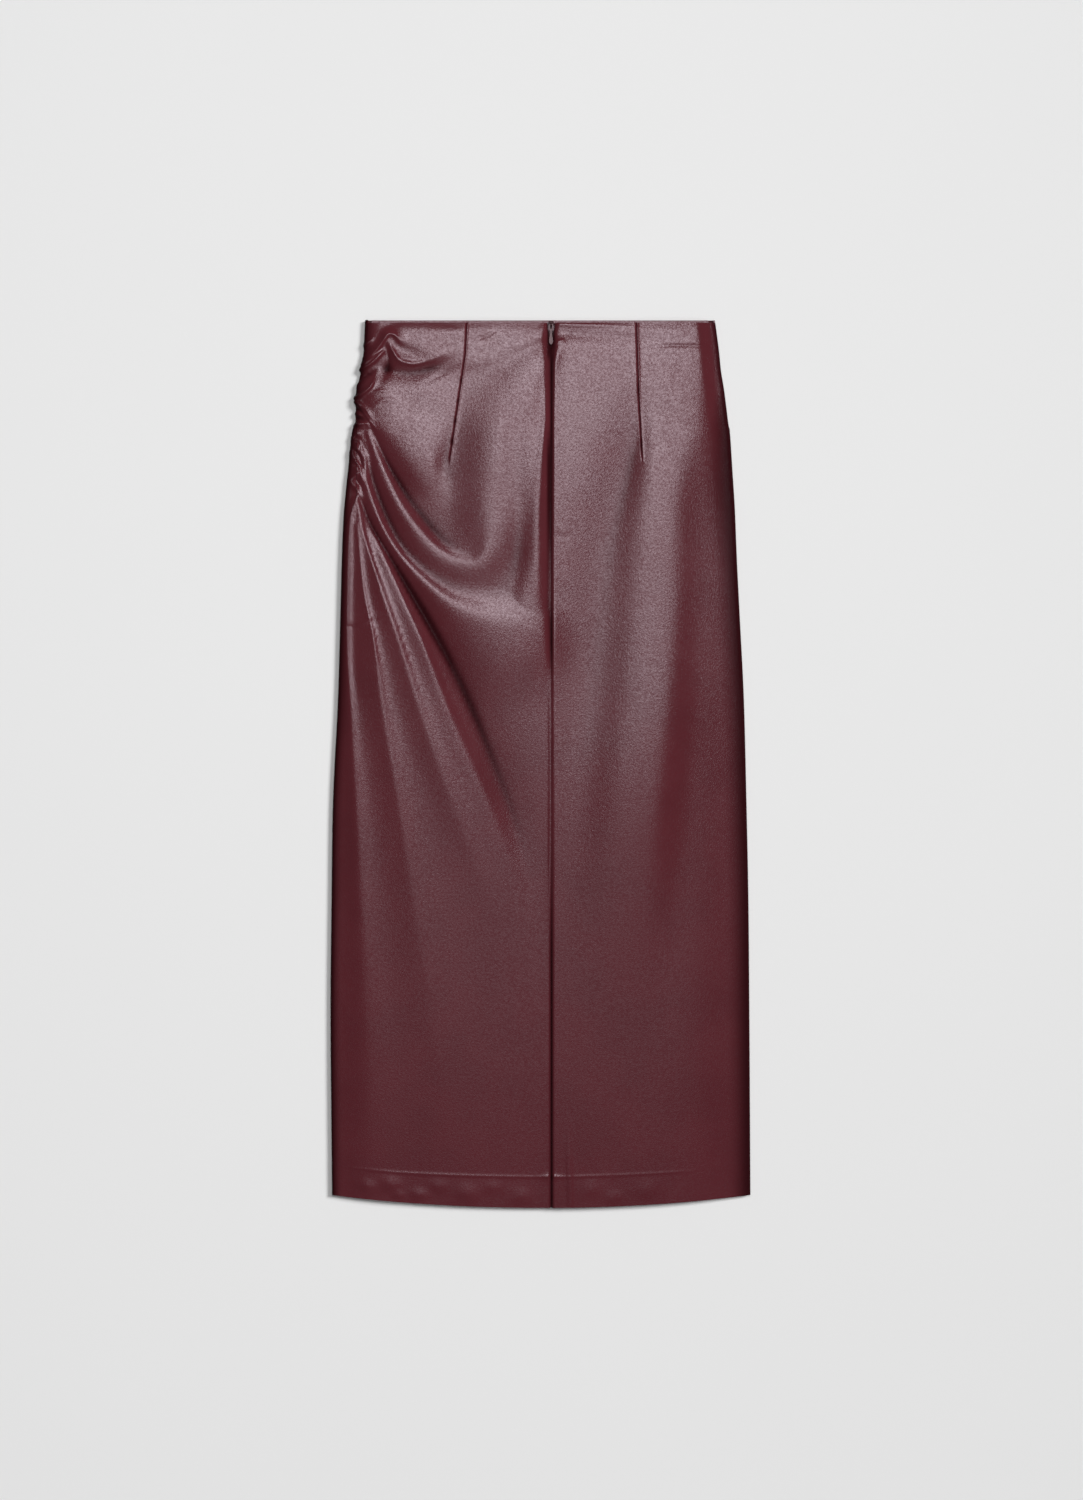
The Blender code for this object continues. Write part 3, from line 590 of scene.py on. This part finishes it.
# The quilting that the turned-up hem presses into the cloth.
HEM_BUMPS = (
    # across, down, height, half width, half length
    (-184, 862, 0.8, 9, 6),
    (-160, 858, 1.0, 10, 7),
    (-152, 868, 0.6, 5, 4),
    (-132, 866, 0.8, 8, 5),
    (-112, 857, 0.6, 8, 6),
    (-84, 862, 0.8, 10, 8),
    (-58, 856, 0.5, 9, 6),
    (-30, 864, 0.6, 9, 7),
    (40, 858, 0.5, 10, 8),
    (62, 866, 0.5, 8, 6),
    (96, 860, 0.4, 12, 8),
)

Dart = namedtuple("Dart", "top bend tip")
DARTS = {
    "left": Dart((-84.5, 3.0), (-86.0, 34.0), (-102.5, 145.0)),
    "right": Dart((85.0, 3.0), (87.0, 70.0), (91.0, 143.0)),
}
DART_GROOVE = 0.8
DART_GROOVE_WIDTH = 0.5
DART_RIDGE = 0.3  # beside the groove, where the allowance lies underneath
DART_RIDGE_OFF = 1.0
DART_RIDGE_WIDTHS = (0.5, 1.6)  # on the groove's side and on the other
DART_HALF_WIDTH = 3.2  # of the stretch that has fine columns


def spline(points, steps=8):
    """Points of the Catmull-Rom curve through `points`, `steps` to each span."""
    p = np.asarray(points, float)
    p = np.vstack([2 * p[0] - p[1], p, 2 * p[-1] - p[-2]])
    t = np.linspace(0, 1, steps, endpoint=False)[:, None]
    spans = []
    for a, b, c, d in zip(p, p[1:], p[2:], p[3:]):
        spans.append(
            b + 0.5 * t * (c - a + t * (2 * a - 5 * b + 4 * c - d + t * (3 * (b - c) + d - a)))
        )
    return np.vstack([*spans, p[-2]])


def smooth(t):
    t = np.clip(t, 0, 1)
    return t * t * (3 - 2 * t)


def column(table, index, down):
    """A table's column at `down`, straight between its rows."""
    return np.interp(down, table[:, 0], table[:, index])


OUTLINE_CURVE = spline(OUTLINE)


def left_edge(down):
    return column(OUTLINE_CURVE, 1, down)


def right_edge(down):
    return column(OUTLINE_CURVE, 2, down)


def hem_dip(across, row):
    off_middle = (across - HEM_MIDDLE) / HEM_HALF_WIDTH
    return HEM_DIP * (1 - np.minimum(off_middle**2, 1)) * (row / LENGTH_AT_SIDES) ** 4


def bend_width(height, row):
    stiffer = smooth((row - 640) / 180.0)
    return height**2 / (FOLD_RADIUS + (HEM_FOLD_RADIUS - FOLD_RADIUS) * stiffer)


def along(rows, points, sharp):
    """Height over a curve whose rows are across, down, height, inside and outside width."""
    path = spline(rows)
    reach = 3 * path[:, 3:].max()
    low, high = path[:, :2].min(0) - reach, path[:, :2].max(0) + reach
    close = np.flatnonzero(((points >= low) & (points <= high)).all(1))
    height = np.zeros(len(points))
    if not len(close):
        return height
    start, step = path[:-1], np.diff(path, axis=0)
    run = step[:, :2]
    from_start = points[close][:, None, :] - start[:, :2]
    t = np.clip((from_start * run).sum(2) / (run**2).sum(1), 0, 1)
    gap = from_start - t[..., None] * run
    distance = np.hypot(gap[..., 0], gap[..., 1]) + 1e-9
    outward = (run[:, 0] * gap[..., 1] - run[:, 1] * gap[..., 0]) / np.hypot(*run.T) / distance
    crest, inside, outside = (start[:, k] + t * step[:, k] for k in (2, 3, 4))
    width = (inside * (1 - outward) + outside * (1 + outward)) / 2
    reached = crest * np.exp(-((distance / width) ** sharp))
    height[close] = np.take_along_axis(reached, np.abs(reached).argmax(1)[:, None], 1)[:, 0]
    return height


def gather_path(gather):
    seam = left_edge(gather.down) + column(LEFT_SEAM, 1, gather.down)
    width = gather.width
    return [
        (seam, gather.down, gather.height, width, width),
        (seam + gather.reach / 2, gather.down + gather.drop * 0.4, gather.height * 0.7,
         width, width),
        (seam + gather.reach, gather.down + gather.drop, 0, width, width),
    ]


def dart_line(dart, down):
    top, bend, tip = DARTS[dart]
    return np.interp(down, (top[1], bend[1], tip[1]), (top[0], bend[0], tip[0]))


def dart_groove(dart, across, down):
    """The stitched line: a fine groove, and to its right a fine ridge that runs on below."""
    tip = DARTS[dart].tip[1]
    off = across - dart_line(dart, down)
    groove = DART_GROOVE * smooth((tip - down) / 12.0)
    groove = groove * np.exp(-((off / DART_GROOVE_WIDTH) ** 2))
    width = np.where(off < DART_RIDGE_OFF, *DART_RIDGE_WIDTHS)
    ridge = DART_RIDGE * smooth((tip + 4 - down) / 14.0)
    return ridge * np.exp(-(((off - DART_RIDGE_OFF) / width) ** 2)) - groove


def fine_relief(across, row):
    """The creases and the quilting of the hem that only the cloth shows."""
    points = np.stack([across, row], axis=1)
    height = sum(along(crease.rows, points, crease.sharp) for crease in CREASES)
    for at, down, rise, wide, long in HEM_BUMPS:
        height += rise * np.exp(-(((across - at) / wide) ** 2) - ((row - down) / long) ** 2)
    return height * smooth((right_edge(row) - across) / 20.0)


def relief(across, row):
    """Height of the folds, the gathers and the loose lie of the back, above the bend."""
    points = np.stack([across, row], axis=1)
    from_left, from_right = across - left_edge(row), right_edge(row) - across
    at_left = from_left / column(OUTLINE_CURVE, 3, row)
    at_right = from_right / column(OUTLINE_CURVE, 4, row)
    plateau = SHOULDER + (RIGHT_SHOULDER - SHOULDER) * smooth(across / 8.0 + 0.5)
    height = plateau * (1 - np.exp(-(at_left**2)) - np.exp(-(at_right**2)))
    height = height - SAG * smooth(1 - np.abs(across) / 150.0)
    for fold in FOLDS:
        height = height + along(fold.rows, points, fold.sharp)
    for gather in GATHERS + FRONT_GATHERS:
        height = height + along(gather_path(gather), points, 1.6)
    near_right = smooth(from_right / 20.0)
    near_waist = 0.8 + 0.2 * smooth(row / 12.0)
    return height * near_right * near_waist


def lowest(across, row):
    on_front = 2 * WALL + SEAM_GAP
    facing = (FACING_WALL + SEAM_GAP) * (1 - smooth((row - FACING_DEPTH - 1) / 6.0))
    hem = 2 * HEM_PLY * smooth((row - LENGTH_AT_SIDES + HEM_DEPTH + 8) / 6.0)
    near_zip = np.exp(-((across / (TAPE_HALF_WIDTH + 4)) ** 8))
    near_zip = near_zip * (1 - smooth((row - ZIP_LENGTH - 2) / 8.0))
    return on_front + facing + hem + (TAPE_WALL + SEAM_GAP) * near_zip + 0.15


def soft_floor(height, floor):
    half = (height - floor) / 2
    return floor + half + np.sqrt(half**2 + 0.04)


def side_fold(across, row, height):
    """Share of `height` reached, and the outward normal, round an elliptical side fold."""
    inside_left, inside_right = across - left_edge(row), right_edge(row) - across
    inset = np.maximum(np.minimum(inside_left, inside_right), 0)
    width = bend_width(height, row)
    turn = 1 - np.minimum(inset / width, 1)
    share = np.sqrt(1 - turn**2)
    sideways = np.where(inside_left < inside_right, -1.0, 1.0) * turn
    normal = np.stack([sideways / width, 0 * row, share / height], axis=1)
    return share, normal / np.linalg.norm(normal, axis=1)[:, None]


def upper_skin(across, row):
    """Outer points and outward normals of the upper side, for arrays of equal length."""
    share, normal = side_fold(across, row, EDGE_RISE)
    base = SIDE_HEIGHT + SEAM_GAP / 2 + EDGE_RISE * share
    floor = np.minimum(lowest(across, row) - base, -0.3)
    move = soft_floor(relief(across, row), floor)
    valley_width = np.where(across < 0, column(VALLEY, 2, row), column(VALLEY, 3, row))
    in_valley = np.exp(-((across / valley_width) ** 2))
    move = move * (1 - in_valley) + (column(VALLEY, 1, row) - base) * in_valley
    for dart in DARTS:
        move += dart_groove(dart, across, row)
    move += fine_relief(across, row) * (1 - in_valley)
    point = np.stack([across, row + hem_dip(across, row), base], axis=1)
    return point + normal * move[:, None], normal


def lower_skin(across, row):
    """The same for the side that lies on the table: flat, turned up at both side folds."""
    height = SIDE_HEIGHT - SEAM_GAP / 2
    share, normal = side_fold(across, row, height)
    point = np.stack([across, row + hem_dip(across, row), height * (1 - share)], axis=1)
    return point, normal * (1, 1, -1)


def blurred(field, sigma):
    """A grid after a Gaussian blur of `sigma` grid steps, its borders carried outwards."""
    reach = int(3 * sigma) + 1
    weights = np.exp(-0.5 * (np.arange(-reach, reach + 1) / sigma) ** 2)
    for _ in range(2):
        padded = np.pad(field, ((reach, reach), (0, 0)), mode="edge")
        field = sum(w * padded[k:k + len(field)] for k, w in enumerate(weights / weights.sum())).T
    return field


HOLLOW_STEP = 3.0
HOLLOW_ACROSS = np.arange(-228, 210, HOLLOW_STEP)
HOLLOW_DOWN = np.arange(BACK_DROP, LENGTH_AT_SIDES, HOLLOW_STEP)


# The mask of the shade that is painted into creases and hollows.
def hollow_map():
    """How deep the upper side lies under the cloth round it, 0 to 1, on a regular grid."""
    across, down = (grid.ravel() for grid in np.meshgrid(HOLLOW_ACROSS, HOLLOW_DOWN))
    lies = (across > left_edge(down)) & (across < right_edge(down))
    height = np.full(across.shape, SIDE_HEIGHT)
    height[lies] = upper_skin(across[lies], down[lies])[0][:, 2]
    height = height.reshape(len(HOLLOW_DOWN), len(HOLLOW_ACROSS))
    near = smooth((blurred(height, 7 / HOLLOW_STEP) - height) / 1.2)
    wide = smooth((blurred(height, 20 / HOLLOW_STEP) - height) / 3.0)
    return np.minimum(0.8 * (near + wide), 1)


HOLLOW_MAP = hollow_map()


def painted_shade_at(point):
    """Painted shade of points of the upper side: in a hollow, or turned down at a side fold."""
    across, down = point[..., 0], np.clip(point[..., 1], BACK_DROP, LENGTH_AT_SIDES)
    column_at = np.clip((across - HOLLOW_ACROSS[0]) / HOLLOW_STEP, 0, len(HOLLOW_ACROSS) - 1.001)
    row_at = np.clip((down - HOLLOW_DOWN[0]) / HOLLOW_STEP, 0, len(HOLLOW_DOWN) - 1.001)
    left, above = column_at.astype(int), row_at.astype(int)
    u, v = column_at - left, row_at - above
    upper = HOLLOW_MAP[above, left] * (1 - u) + HOLLOW_MAP[above, left + 1] * u
    lower = HOLLOW_MAP[above + 1, left] * (1 - u) + HOLLOW_MAP[above + 1, left + 1] * u
    hollow = upper * (1 - v) + lower * v
    near_left = 1 - smooth((across - left_edge(down)) / EDGE_SHADE)
    near_right = 1 - smooth((right_edge(down) - across) / np.interp(down, *RIGHT_EDGE_SHADE))
    return np.maximum(hollow, np.maximum(near_left, near_right))


CENTRE_ACROSS = (OUTLINE_CURVE[:, 1].min() + OUTLINE_CURVE[:, 2].max()) / 2
CENTRE_DOWN = (LENGTH_AT_SIDES + HEM_DIP) / 2


def to_world(point):
    """Garment (across, down, height) in millimetres to the frame's metres."""
    return np.stack(
        [point[..., 0] - CENTRE_ACROSS, CENTRE_DOWN - point[..., 1], point[..., 2]], axis=-1
    ) * MM


# ---------------------------------------------------------------- materials


class Nodes:
    """Short calls for building a material's node tree."""

    def __init__(self, name):
        self.material = bpy.data.materials.new(name)
        self.material.use_nodes = True
        self.tree = self.material.node_tree
        self.tree.nodes.clear()
        self.shader = self.add("ShaderNodeBsdfPrincipled")
        output = self.add("ShaderNodeOutputMaterial")
        self.tree.links.new(self.shader.outputs[0], output.inputs["Surface"])

    def add(self, kind, **settings):
        node = self.tree.nodes.new(kind)
        for key, value in settings.items():
            setattr(node, key, value)
        return node

    def put(self, socket, value):
        if isinstance(value, bpy.types.NodeSocket):
            self.tree.links.new(value, socket)
        else:
            socket.default_value = value

    def set(self, **sockets):
        for name, value in sockets.items():
            self.put(self.shader.inputs[name.replace("_", " ")], value)

    def math(self, operation, *values, clamp=False):
        node = self.add("ShaderNodeMath", operation=operation, use_clamp=clamp)
        for socket, value in zip(node.inputs, values):
            self.put(socket, value)
        return node.outputs[0]

    def mix(self, share, low, high):
        node = self.add("ShaderNodeMix", data_type="RGBA")
        self.put(node.inputs[0], share)
        self.put(node.inputs[6], low)
        self.put(node.inputs[7], high)
        return node.outputs[2]

    def noise(self, place, scale, detail=2.0, roughness=0.5, distortion=0.0):
        node = self.add("ShaderNodeTexNoise")
        self.put(node.inputs["Vector"], place)
        for name, value in (("Scale", scale), ("Detail", detail), ("Roughness", roughness),
                            ("Distortion", distortion)):
            node.inputs[name].default_value = value
        return node.outputs["Fac"]

    def voronoi(self, place, scale, feature="F1"):
        node = self.add("ShaderNodeTexVoronoi", feature=feature)
        self.put(node.inputs["Vector"], place)
        node.inputs["Scale"].default_value = scale
        return node.outputs["Distance"]

    def ramp(self, value, low, high, to_low=0.0, to_high=1.0):
        node = self.add("ShaderNodeMapRange", interpolation_type="SMOOTHSTEP")
        for socket, item in zip(node.inputs, (value, low, high, to_low, to_high)):
            self.put(socket, item)
        return node.outputs[0]

    def bump(self, height, distance, strength=1.0, under=None):
        node = self.add("ShaderNodeBump")
        self.put(node.inputs["Height"], height)
        node.inputs["Distance"].default_value = distance
        node.inputs["Strength"].default_value = strength
        if under is not None:
            self.put(node.inputs["Normal"], under)
        return node.outputs["Normal"]


def leather(name, colour, roughness):
    """Coated faux leather: fine pebbled grain, faint creasing, and a soft plastic gloss.

    A mesh attribute paints shade on it: it darkens the colour and weakens the gloss
    in creases and hollows, near the side edges and where the cloth lies low.
    """
    made = Nodes(name)
    place = made.add("ShaderNodeTexCoord").outputs["Object"]
    painted_shade = made.add("ShaderNodeAttribute", attribute_name="painted_shade").outputs["Fac"]
    grain = made.voronoi(place, 520.0, "DISTANCE_TO_EDGE")
    pores = made.noise(place, 1400.0, 2.0)
    crinkle = made.noise(place, 160.0, 3.0, 0.55, 0.6)
    patches = made.noise(place, 14.0, 3.0, 0.6)
    fleck = made.noise(place, 500.0, 2.0, 0.6)
    deep = [c * 0.96 for c in colour] + [1.0]
    warm = [colour[0] * 1.04, colour[1] * 1.02, colour[2] * 1.02, 1.0]
    # painted shade: the colour of creases, hollows and side edges
    painted_shade_colour = [c * 0.27 for c in colour] + [1.0]
    made.set(
        Base_Color=made.mix(
            made.math("POWER", painted_shade, 1.7),
            made.mix(made.ramp(patches, 0.35, 0.65), deep, warm), painted_shade_colour,
        ),
        Roughness=made.ramp(
            made.math("ADD", patches, made.math("MULTIPLY", crinkle, 0.6)),
            0.5, 1.1, roughness - 0.03, roughness + 0.04,
        ),
        # painted shade also weakens the gloss; the flecks vary it at random
        Specular_IOR_Level=made.math(
            "MULTIPLY", made.ramp(painted_shade, 0.0, 1.0, 0.5, 0.03),
            made.ramp(fleck, 0.3, 0.7, 0.62, 1.38),
        ),
        Specular_Tint=(1.0, 0.86, 0.94, 1.0),
        IOR=1.5,
    )
    creased = made.bump(crinkle, 0.00025, 0.12)
    flecked = made.bump(fleck, 0.00025, 0.3, creased)
    pebbled = made.bump(made.ramp(grain, 0.0, 0.25), 0.00005, 0.5, flecked)
    made.set(Normal=made.bump(pores, 0.00002, 0.4, pebbled))
    return made.material


def cloth_tape(name):
    """Woven polyester tape."""
    made = Nodes(name)
    place = made.add("ShaderNodeTexCoord").outputs["Object"]
    weave = made.voronoi(place, 1900.0)
    made.set(
        Base_Color=made.mix(weave, (0.060, 0.014, 0.018, 1), (0.035, 0.008, 0.011, 1)),
        Roughness=0.8,
        Normal=made.bump(weave, 0.0001, 0.6),
    )
    return made.material


def lacquer(name, gloss):
    """Zip metal, lacquered in the skirt's colour and rubbed a little at random."""
    made = Nodes(name)
    place = made.add("ShaderNodeTexCoord").outputs["Object"]
    worn = made.ramp(made.noise(place, 700.0, 3.0), 0.45, 0.75)
    made.set(
        Base_Color=made.mix(worn, (0.028, 0.007, 0.009, 1), (0.075, 0.030, 0.032, 1)),
        Roughness=made.ramp(worn, 0, 1, 0.30, 0.42),
        Specular_IOR_Level=gloss,
        Specular_Tint=(1.0, 0.80, 0.84, 1.0),
        Normal=made.bump(made.noise(place, 1500.0), 0.00003, 0.3),
    )
    return made.material


def paper(name):
    """The pale ground."""
    made = Nodes(name)
    place = made.add("ShaderNodeTexCoord").outputs["Object"]
    made.set(
        Base_Color=made.mix(made.noise(place, 3.0), (0.80, 0.80, 0.80, 1), (0.81, 0.81, 0.81, 1)),
        Roughness=0.95,
        Specular_IOR_Level=0.0,
    )
    return made.material


LEATHER = leather("leather_outside", (0.083, 0.0140, 0.0190), 0.205)
LINING = leather("leather_inside", (0.060, 0.012, 0.014), 0.62)
TAPE = cloth_tape("zip_tape_weave")
PULL_METAL = lacquer("zip_lacquer", 0.5)
SLIDER_METAL = lacquer("zip_lacquer_dull", 0.1)
TEETH_PLASTIC = lacquer("zip_coil", 0.2)

# ---------------------------------------------------------------- pieces


def finish_mesh(name, vertices, faces, materials, slots=None, sharp=50, painted_shade=None):
    mesh = bpy.data.meshes.new(name)
    mesh.from_pydata(vertices.tolist(), [], faces)
    for item in materials:
        mesh.materials.append(item)
    if slots is not None:
        mesh.polygons.foreach_set("material_index", np.asarray(slots, np.int32))
    if painted_shade is not None:
        mesh.attributes.new("painted_shade", "FLOAT", "POINT").data.foreach_set("value", painted_shade)
    mesh.shade_smooth()
    mesh.set_sharp_from_angle(angle=math.radians(sharp))
    made = bpy.data.objects.new(name, mesh)
    bpy.context.scene.collection.objects.link(made)
    return made


def quads(index):
    a, b, c, d = index[:-1, :-1], index[:-1, 1:], index[1:, 1:], index[1:, :-1]
    return np.stack([a, b, c, d], axis=-1).reshape(-1, 4)


def rim_of(index):
    """The grid's border as four runs, all the way round."""
    return index[0, :], index[:, -1], index[-1, ::-1], index[::-1, 0]


def wall(name, outer, inner):
    """A closed wall between two grids, rows by columns by 3, in garment millimetres.

    The inner side keeps every third row and second column of it."""
    rows, columns = outer.shape[:2]
    index = np.arange(rows * columns).reshape(rows, columns)
    kept_rows = np.unique([*range(0, rows, 3), rows - 1])
    kept_columns = np.unique([*range(0, columns, 2), columns - 1])
    inner = inner[np.ix_(kept_rows, kept_columns)]
    under = np.arange(inner.shape[0] * inner.shape[1]).reshape(inner.shape[:2]) + rows * columns
    vertices = np.vstack([to_world(outer).reshape(-1, 3), to_world(inner).reshape(-1, 3)])
    over_faces = quads(index)[:, ::-1].tolist()
    under_faces = quads(under).tolist()
    rim_faces = []
    for run, run_under, kept in zip(rim_of(index), rim_of(under), (
        kept_columns, kept_rows, columns - 1 - kept_columns[::-1], rows - 1 - kept_rows[::-1],
    )):
        for start, end, low, high in zip(kept, kept[1:], run_under, run_under[1:]):
            rim_faces.append([*run[start:end + 1].tolist(), int(high), int(low)])
    faces = over_faces + rim_faces + under_faces
    slots = np.zeros(len(faces), int)
    slots[len(over_faces) + len(rim_faces):] = 1
    # Painted shade per point: hollows and side edges on the upper side, a fixed amount where the
    # cloth lies low, none underneath.
    painted_shade = np.where(outer[..., 2] > SIDE_HEIGHT, painted_shade_at(outer), LOW_PAINTED_SHADE).ravel()
    painted_shade = np.concatenate([painted_shade, np.zeros(under.size)]).astype(np.float32)
    return finish_mesh(name, vertices, faces, (LEATHER, LINING), slots, painted_shade=painted_shade)


def wall_thickness(row):
    return WALL + HEM_PLY * smooth((row - (LENGTH_AT_SIDES - HEM_DEPTH) + 0.8) / 1.6)


def spaced(*stretches):
    stations = []
    for start, end, step in stretches:
        count = max(1, round((end - start) / step))
        stations += list(np.linspace(start, end, count, endpoint=False))
    return stations + [stretches[-1][1]]


def skin_grid(rows, columns_of, skin):
    across = np.array([columns_of(row) for row in rows])
    down = np.repeat(np.array(rows, float)[:, None], across.shape[1], axis=1)
    point, normal = skin(across.ravel(), down.ravel())
    return point.reshape(*across.shape, 3), normal.reshape(*across.shape, 3)


def cloth_wall(name, rows, outer, normal):
    return wall(name, outer, outer - normal * wall_thickness(np.array(rows))[:, None, None])


HEM_TOP = LENGTH_AT_SIDES - HEM_DEPTH
ROWS = spaced(
    (BACK_DROP, 12, 1.5), (12, 180, 1.05), (180, 345, 1.9), (345, 560, 5), (560, HEM_TOP - 8, 9),
    (HEM_TOP - 8, HEM_TOP + 4, 0.7), (HEM_TOP + 4, LENGTH_AT_SIDES, 1.6),
)


def share_stations(*stretches):
    return np.array(spaced(*stretches))


# Shares of the way from the seam to the dart, across the dart, and on to the middle.
TO_DART = share_stations((0, 0.36, 0.0078), (0.36, 1.0, 0.018))[:-1]
FROM_DART = share_stations((0, 1.0, 0.021))[:-1]
TO_RIGHT_DART = share_stations((0, 1.0, 0.024))[:-1]
FROM_RIGHT_DART = share_stations((0, 0.9, 0.025), (0.9, 1.0, 0.02))
ACROSS_DART = np.array([-1, -0.6, -0.38, -0.18, 0, 0.18, 0.36, 0.52, 0.68, 0.84])
BESIDE_SEAM = np.array([6, 4.6, 3.4, 2.4, 1.7, 1.1, 0.5, 0])
BEND_ANGLES = np.radians([75, 60, 46, 34, 23, 13, 5, 0])


def dart_columns(start, line, end, shares_before, shares_after):
    before, after = line - DART_HALF_WIDTH, line + DART_HALF_WIDTH
    return np.concatenate([
        start + shares_before * (before - start),
        line + ACROSS_DART * DART_HALF_WIDTH,
        after + shares_after * (end - after),
    ])


def left_columns(row):
    seam = left_edge(row) + column(LEFT_SEAM, 1, row) + SEAM_GAP / 2
    groove = -column(MOUTH, 1, row) - BESIDE_SEAM
    line = float(dart_line("left", row))
    return np.concatenate([dart_columns(seam, line, groove[0], TO_DART, FROM_DART), groove])


def right_columns(row):
    groove, edge = column(MOUTH, 1, row) + BESIDE_SEAM[::-1], right_edge(row)
    bend = bend_width(EDGE_RISE, row)
    line = float(dart_line("right", row))
    flat = dart_columns(groove[-1], line, edge - bend, TO_RIGHT_DART[1:], FROM_RIGHT_DART)
    return np.concatenate([groove, flat, edge - bend * (1 - np.cos(BEND_ANGLES))])


def make_back():
    left = cloth_wall("back_left_cloth", ROWS, *skin_grid(ROWS, left_columns, upper_skin))
    right = cloth_wall("back_right_cloth", ROWS, *skin_grid(ROWS, right_columns, upper_skin))
    return left, right


def make_front():
    rows = [0.0, 1.5, *ROWS]
    under_angles = np.radians([0, 8, 18, 30, 44, 60, 75, 90])

    def strip(row):
        reach = column(LEFT_SEAM, 1, row) - SEAM_GAP / 2
        return left_edge(row) + reach * np.linspace(1, 0, 9)

    def under(row):
        bend = bend_width(SIDE_HEIGHT - SEAM_GAP / 2, row)
        left = left_edge(row) + bend * (1 - np.cos(under_angles))
        right = right_edge(row) - bend * (1 - np.cos(under_angles[::-1]))
        middle = left[-1] + np.linspace(0, 1, 14)[1:-1] * (right[0] - left[-1])
        return np.concatenate([left, middle, right])

    top, top_normal = skin_grid(rows, strip, upper_skin)
    low, low_normal = skin_grid(rows, under, lower_skin)
    outer = np.concatenate([top, low], axis=1)[:, ::-1]
    normal = np.concatenate([top_normal, low_normal], axis=1)[:, ::-1]
    return cloth_wall("front_cloth", rows, outer, normal)


def make_facing():
    rows = np.linspace(0, FACING_DEPTH, 12)
    across = np.array([
        np.linspace(left_edge(row) + FACING_INSET, right_edge(row) - FACING_INSET, 60)
        for row in rows
    ])
    down = np.repeat(rows[:, None], across.shape[1], axis=1)
    lower = np.stack([across, down, np.full_like(down, WALL + SEAM_GAP)], axis=-1)
    return wall("front_facing_cloth", lower + (0, 0, FACING_WALL), lower)


def make_teeth():
    """The zip's coil where it shows below the slider, two rows of small beads on the tape."""
    rings, sides = 5, 8
    polar = np.linspace(0, math.pi, rings)[:, None]
    turn = np.linspace(0, 2 * math.pi, sides, endpoint=False)
    bead = np.stack([
        np.sin(polar) * np.cos(turn), np.sin(polar) * np.sin(turn), np.cos(polar) + 0 * turn,
    ], axis=-1).reshape(-1, 3) * TOOTH
    index = np.arange(rings * sides).reshape(rings, sides)
    around = quads(np.hstack([index, index[:, :1]]))
    vertices, faces = [], []
    for number, down in enumerate(np.arange(*TEETH)):
        across = TOOTH[0] / 2 * (-1 if number % 2 else 1)
        under = upper_skin(np.array([0.15]), np.array([down]))[0][0, 2] - WALL - SEAM_GAP
        faces += (around + len(vertices) * rings * sides).tolist()
        vertices.append(bead + (across, down, under + TOOTH[2] / 2))
    return finish_mesh("zip_teeth", to_world(np.vstack(vertices)), faces, (TEETH_PLASTIC,))


back_left, back_right = make_back()
front = make_front()
facing = make_facing()
teeth = make_teeth()
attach(teeth, "skirt")

for piece, node in ((back_left, "back_left"), (back_right, "back_right"), (front, "front"),
                    (facing, "front_facing")):
    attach(piece, "skirt")
    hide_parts(node)

for node, item in (("zip_tape_left", TAPE), ("zip_tape_right", TAPE), ("zip_slider", SLIDER_METAL),
                   ("zip_pull", PULL_METAL)):
    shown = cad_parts[node]
    shown.data.materials.clear()
    shown.data.materials.append(item)

# ---------------------------------------------------------------- ground, light and camera

bpy.ops.mesh.primitive_plane_add(size=8, location=(0, 0, -0.0004))
floor = bpy.context.object
floor.name = "ground"
floor.data.materials.append(paper("ground_paper"))


def lamp(name, kind, place, aim, energy):
    data = bpy.data.lights.new(name, kind)
    data.energy = energy
    made = bpy.data.objects.new(name, data)
    bpy.context.scene.collection.objects.link(made)
    made.location = place
    made.rotation_euler = (Vector(aim) - Vector(place)).to_track_quat("-Z", "Y").to_euler()
    made.visible_camera = False
    return made


LAMP_HEIGHT = 2.9
PANELS = (
    # name, across, up, width, height, radiance, whether it is mirrored in the cloth
    ("far_panel", 0.02, 1.20, 1.05, 0.50, 8.5, True),
    ("main_panel", 0.02, 0.635, 1.05, 0.63, 6.2, True),
    ("middle_panel", 0.02, -0.065, 1.05, 0.77, 0.95, True),
    ("near_panel", 0.02, -0.65, 1.05, 0.40, 0.45, True),
    ("floor_fill", 0.02, -1.70, 2.60, 0.80, 1.7, False),
)
for name, x, y, width, length, radiance, mirrored in PANELS:
    power = radiance * math.pi * width * length
    panel = lamp(name, "AREA", (x, y, LAMP_HEIGHT), (x, y, 0), power)
    panel.data.shape = "RECTANGLE"
    panel.data.size, panel.data.size_y = width, length
    panel.visible_glossy = mirrored
side = lamp("side_light", "SUN", (0.9, 0.42, 0.8), (0, 0, 0), 2.8)
side.data.angle = math.radians(20)
side.visible_glossy = False

world = bpy.data.worlds.new("studio")
world.use_nodes = True
world.node_tree.nodes["Background"].inputs[0].default_value = (1, 1, 1, 1)
world.node_tree.nodes["Background"].inputs[1].default_value = 0.08
bpy.context.scene.world = world

CAMERA_HEIGHT = 2.6
camera_data = bpy.data.cameras.new("camera")
camera_data.sensor_width = 36.0
camera_data.lens = 36.0 * (CAMERA_HEIGHT - 0.005) / 1.5
camera = bpy.data.objects.new("camera", camera_data)
bpy.context.scene.collection.objects.link(camera)
camera.location = (0.001, 0.01375, CAMERA_HEIGHT)
bpy.context.scene.camera = camera

bpy.context.scene.view_settings.view_transform = "Standard"
bpy.context.scene.view_settings.look = "None"
